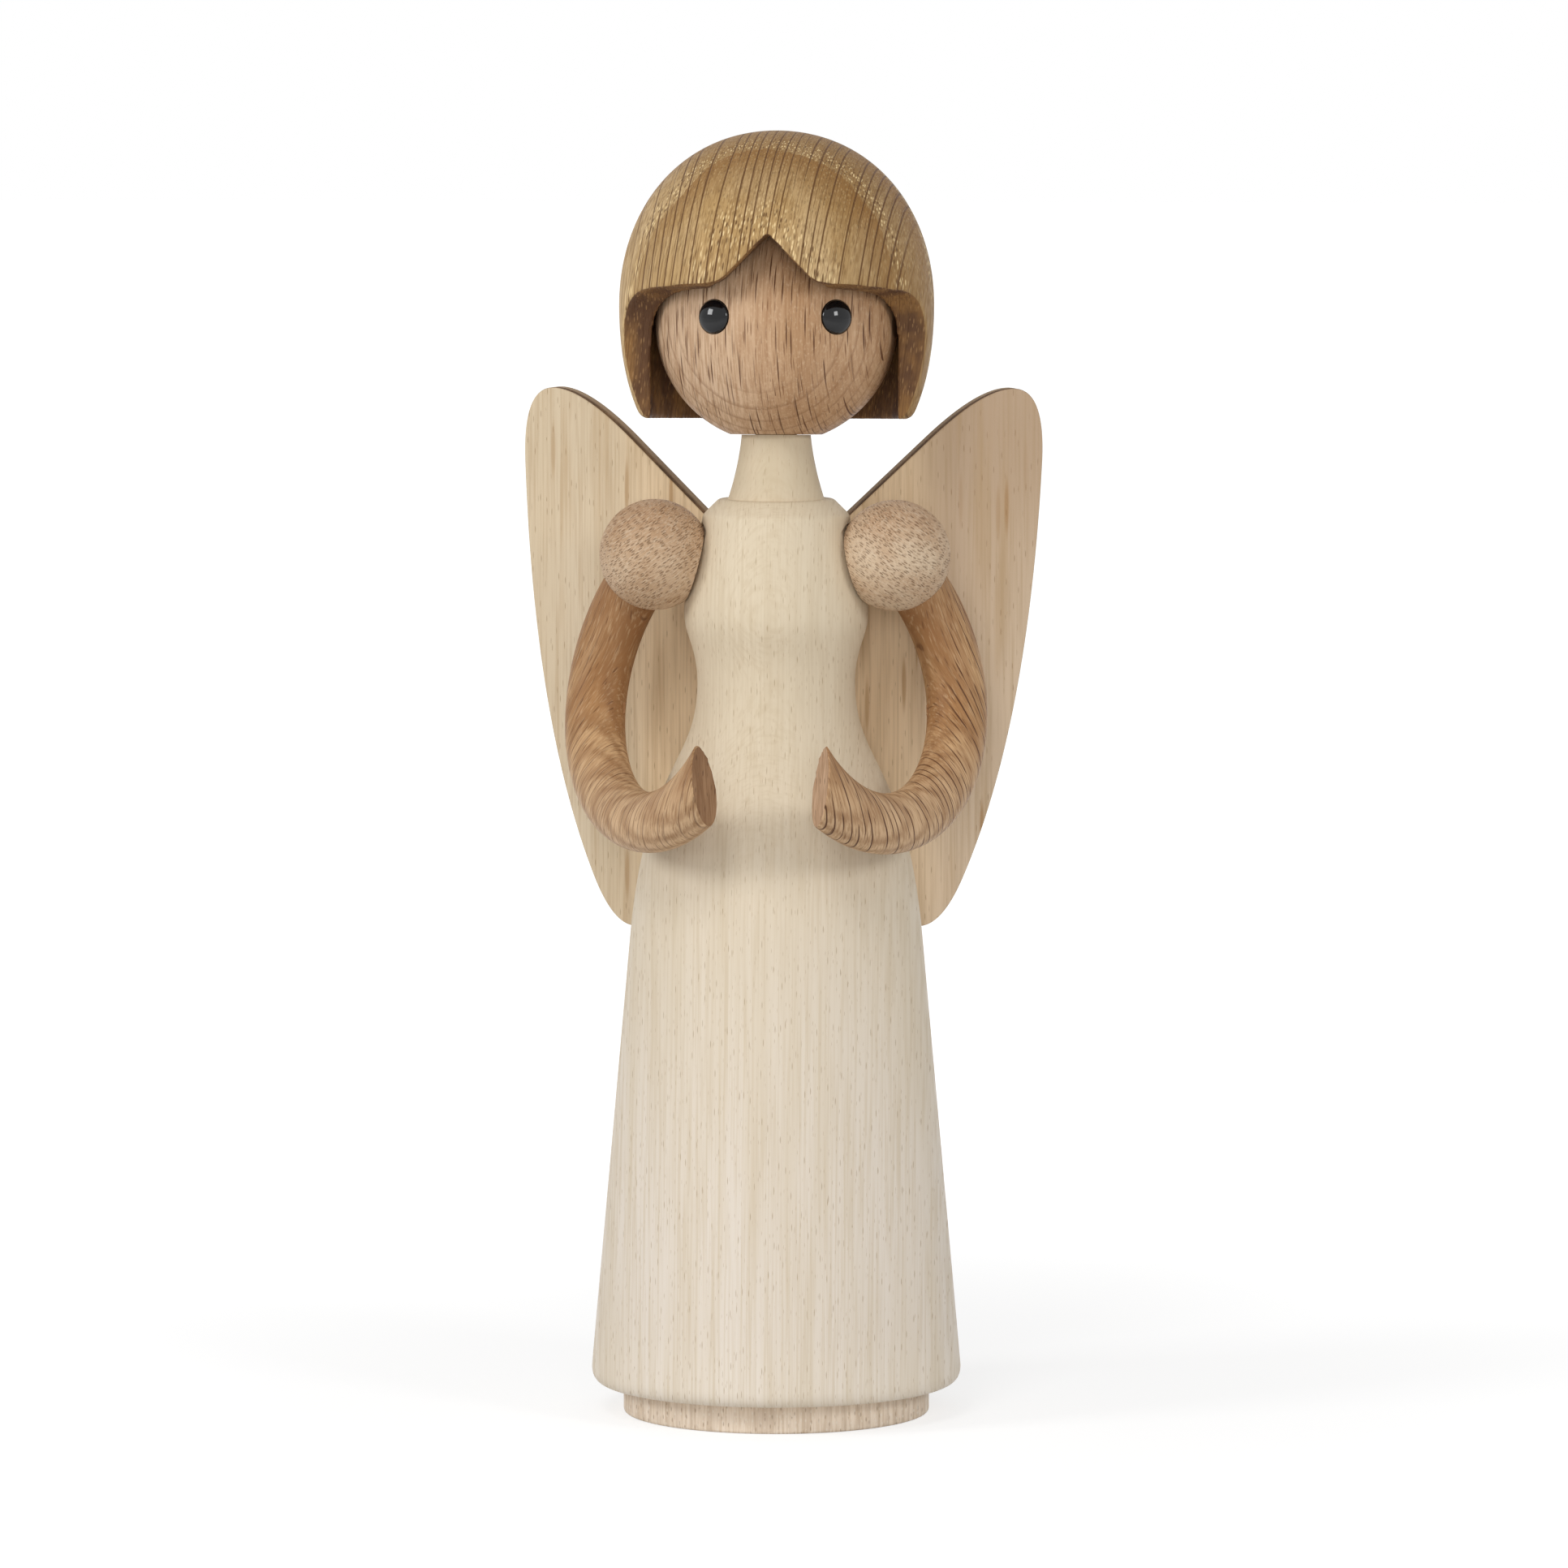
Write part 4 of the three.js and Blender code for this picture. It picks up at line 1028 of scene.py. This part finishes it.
floor_width = 12
lit_grey = 0.8
shaded_grey = 0.42
glow_near, glow_far = 0.68, 0.95
glow_start, glow_end = 0.05, 0.35
bpy.ops.object.select_all(action="DESELECT")
bpy.ops.mesh.primitive_plane_add(size=floor_width)
floor = bpy.context.object
floor.name = "studio_floor"
floor_paint = bpy.data.materials.new("white floor")
floor_paint.use_nodes = True
tree = floor_paint.node_tree
tree.nodes.clear()
lit = make(tree, "BsdfDiffuse", {"Color": (lit_grey, lit_grey, lit_grey, 1)}).outputs[0]
shaded = make(tree, "BsdfDiffuse", {"Color": (shaded_grey, shaded_grey, shaded_grey, 1)}).outputs[0]
away = gauge(tree, "LENGTH", make(tree, "TexCoord").outputs["Object"])
strength = share(tree, away, glow_start, glow_end, bottom=glow_near, top=glow_far)
glow = make(tree, "Emission", {"Color": (1, 1, 1, 1), "Strength": strength}).outputs[0]
bright = make(tree, "AddShader", {0: shaded, 1: glow}).outputs[0]
mixed = make(tree, "MixShader", {0: background(tree), 1: lit, 2: bright}).outputs[0]
make(tree, "OutputMaterial", {"Surface": mixed})
floor.data.materials.append(floor_paint)

surround_light = 0.42
surround_white = 1.0
surround = bpy.data.worlds.new("white surround")
bpy.context.scene.world = surround
surround.use_nodes = True
tree = surround.node_tree
tree.nodes.clear()
dim = make(tree, "Background", {"Color": (1, 1, 1, 1), "Strength": surround_light}).outputs[0]
white = make(tree, "Background", {"Color": (1, 1, 1, 1), "Strength": surround_white}).outputs[0]
mixed = make(tree, "MixShader", {0: background(tree), 1: dim, 2: white}).outputs[0]
make(tree, "OutputWorld", {"Surface": mixed})

lamp_aim = Vector((0, 0, 0.1))


def lamp(name, around, above, distance, size, watts, mirrored):
    """A square softbox, set by its angles round the figure and above the floor, seen in gloss or not."""
    a, e = math.radians(around), math.radians(above)
    back = Vector((math.sin(a) * math.cos(e), -math.cos(a) * math.cos(e), math.sin(e)))
    turn_to = back.to_track_quat("Z", "Y").to_euler()
    bpy.ops.object.light_add(type="AREA", location=lamp_aim + back * distance, rotation=turn_to)
    light = bpy.context.object
    light.name = name
    light.data.shape = "SQUARE"
    light.data.size = size
    light.data.energy = watts
    light.visible_glossy = mirrored


lamp("key_softbox", around=-14, above=44, distance=0.9, size=0.24, watts=1.35, mirrored=False)
lamp("front_softbox", around=2, above=10, distance=0.9, size=0.3, watts=1.1, mirrored=False)
lamp("left_softbox", around=-60, above=22, distance=0.8, size=0.22, watts=1.8, mirrored=True)
lamp("right_softbox", around=48, above=20, distance=0.8, size=0.17, watts=1.1, mirrored=True)


# Camera: a long lens, level with the space over the figure's head and looking down at its middle,
# a little to the viewer's right of its front.
camera_around = math.radians(3.8)
camera_distance = 1.320
camera_height = 0.214
aim_aside = 0.00112
aim_height = 0.09146
picture_focus = 11295
picture_size = 1932
sensor = 36
bpy.ops.object.camera_add(location=(camera_distance * math.sin(camera_around),
                                    -camera_distance * math.cos(camera_around), camera_height))
camera = bpy.context.object
aim = Vector((aim_aside * math.cos(camera_around), aim_aside * math.sin(camera_around), aim_height))
camera.rotation_euler = (aim - camera.location).to_track_quat("-Z", "Y").to_euler()
camera.data.sensor_width = sensor
camera.data.lens = picture_focus / picture_size * sensor
bpy.context.scene.camera = camera
bpy.context.scene.view_settings.view_transform = "Standard"
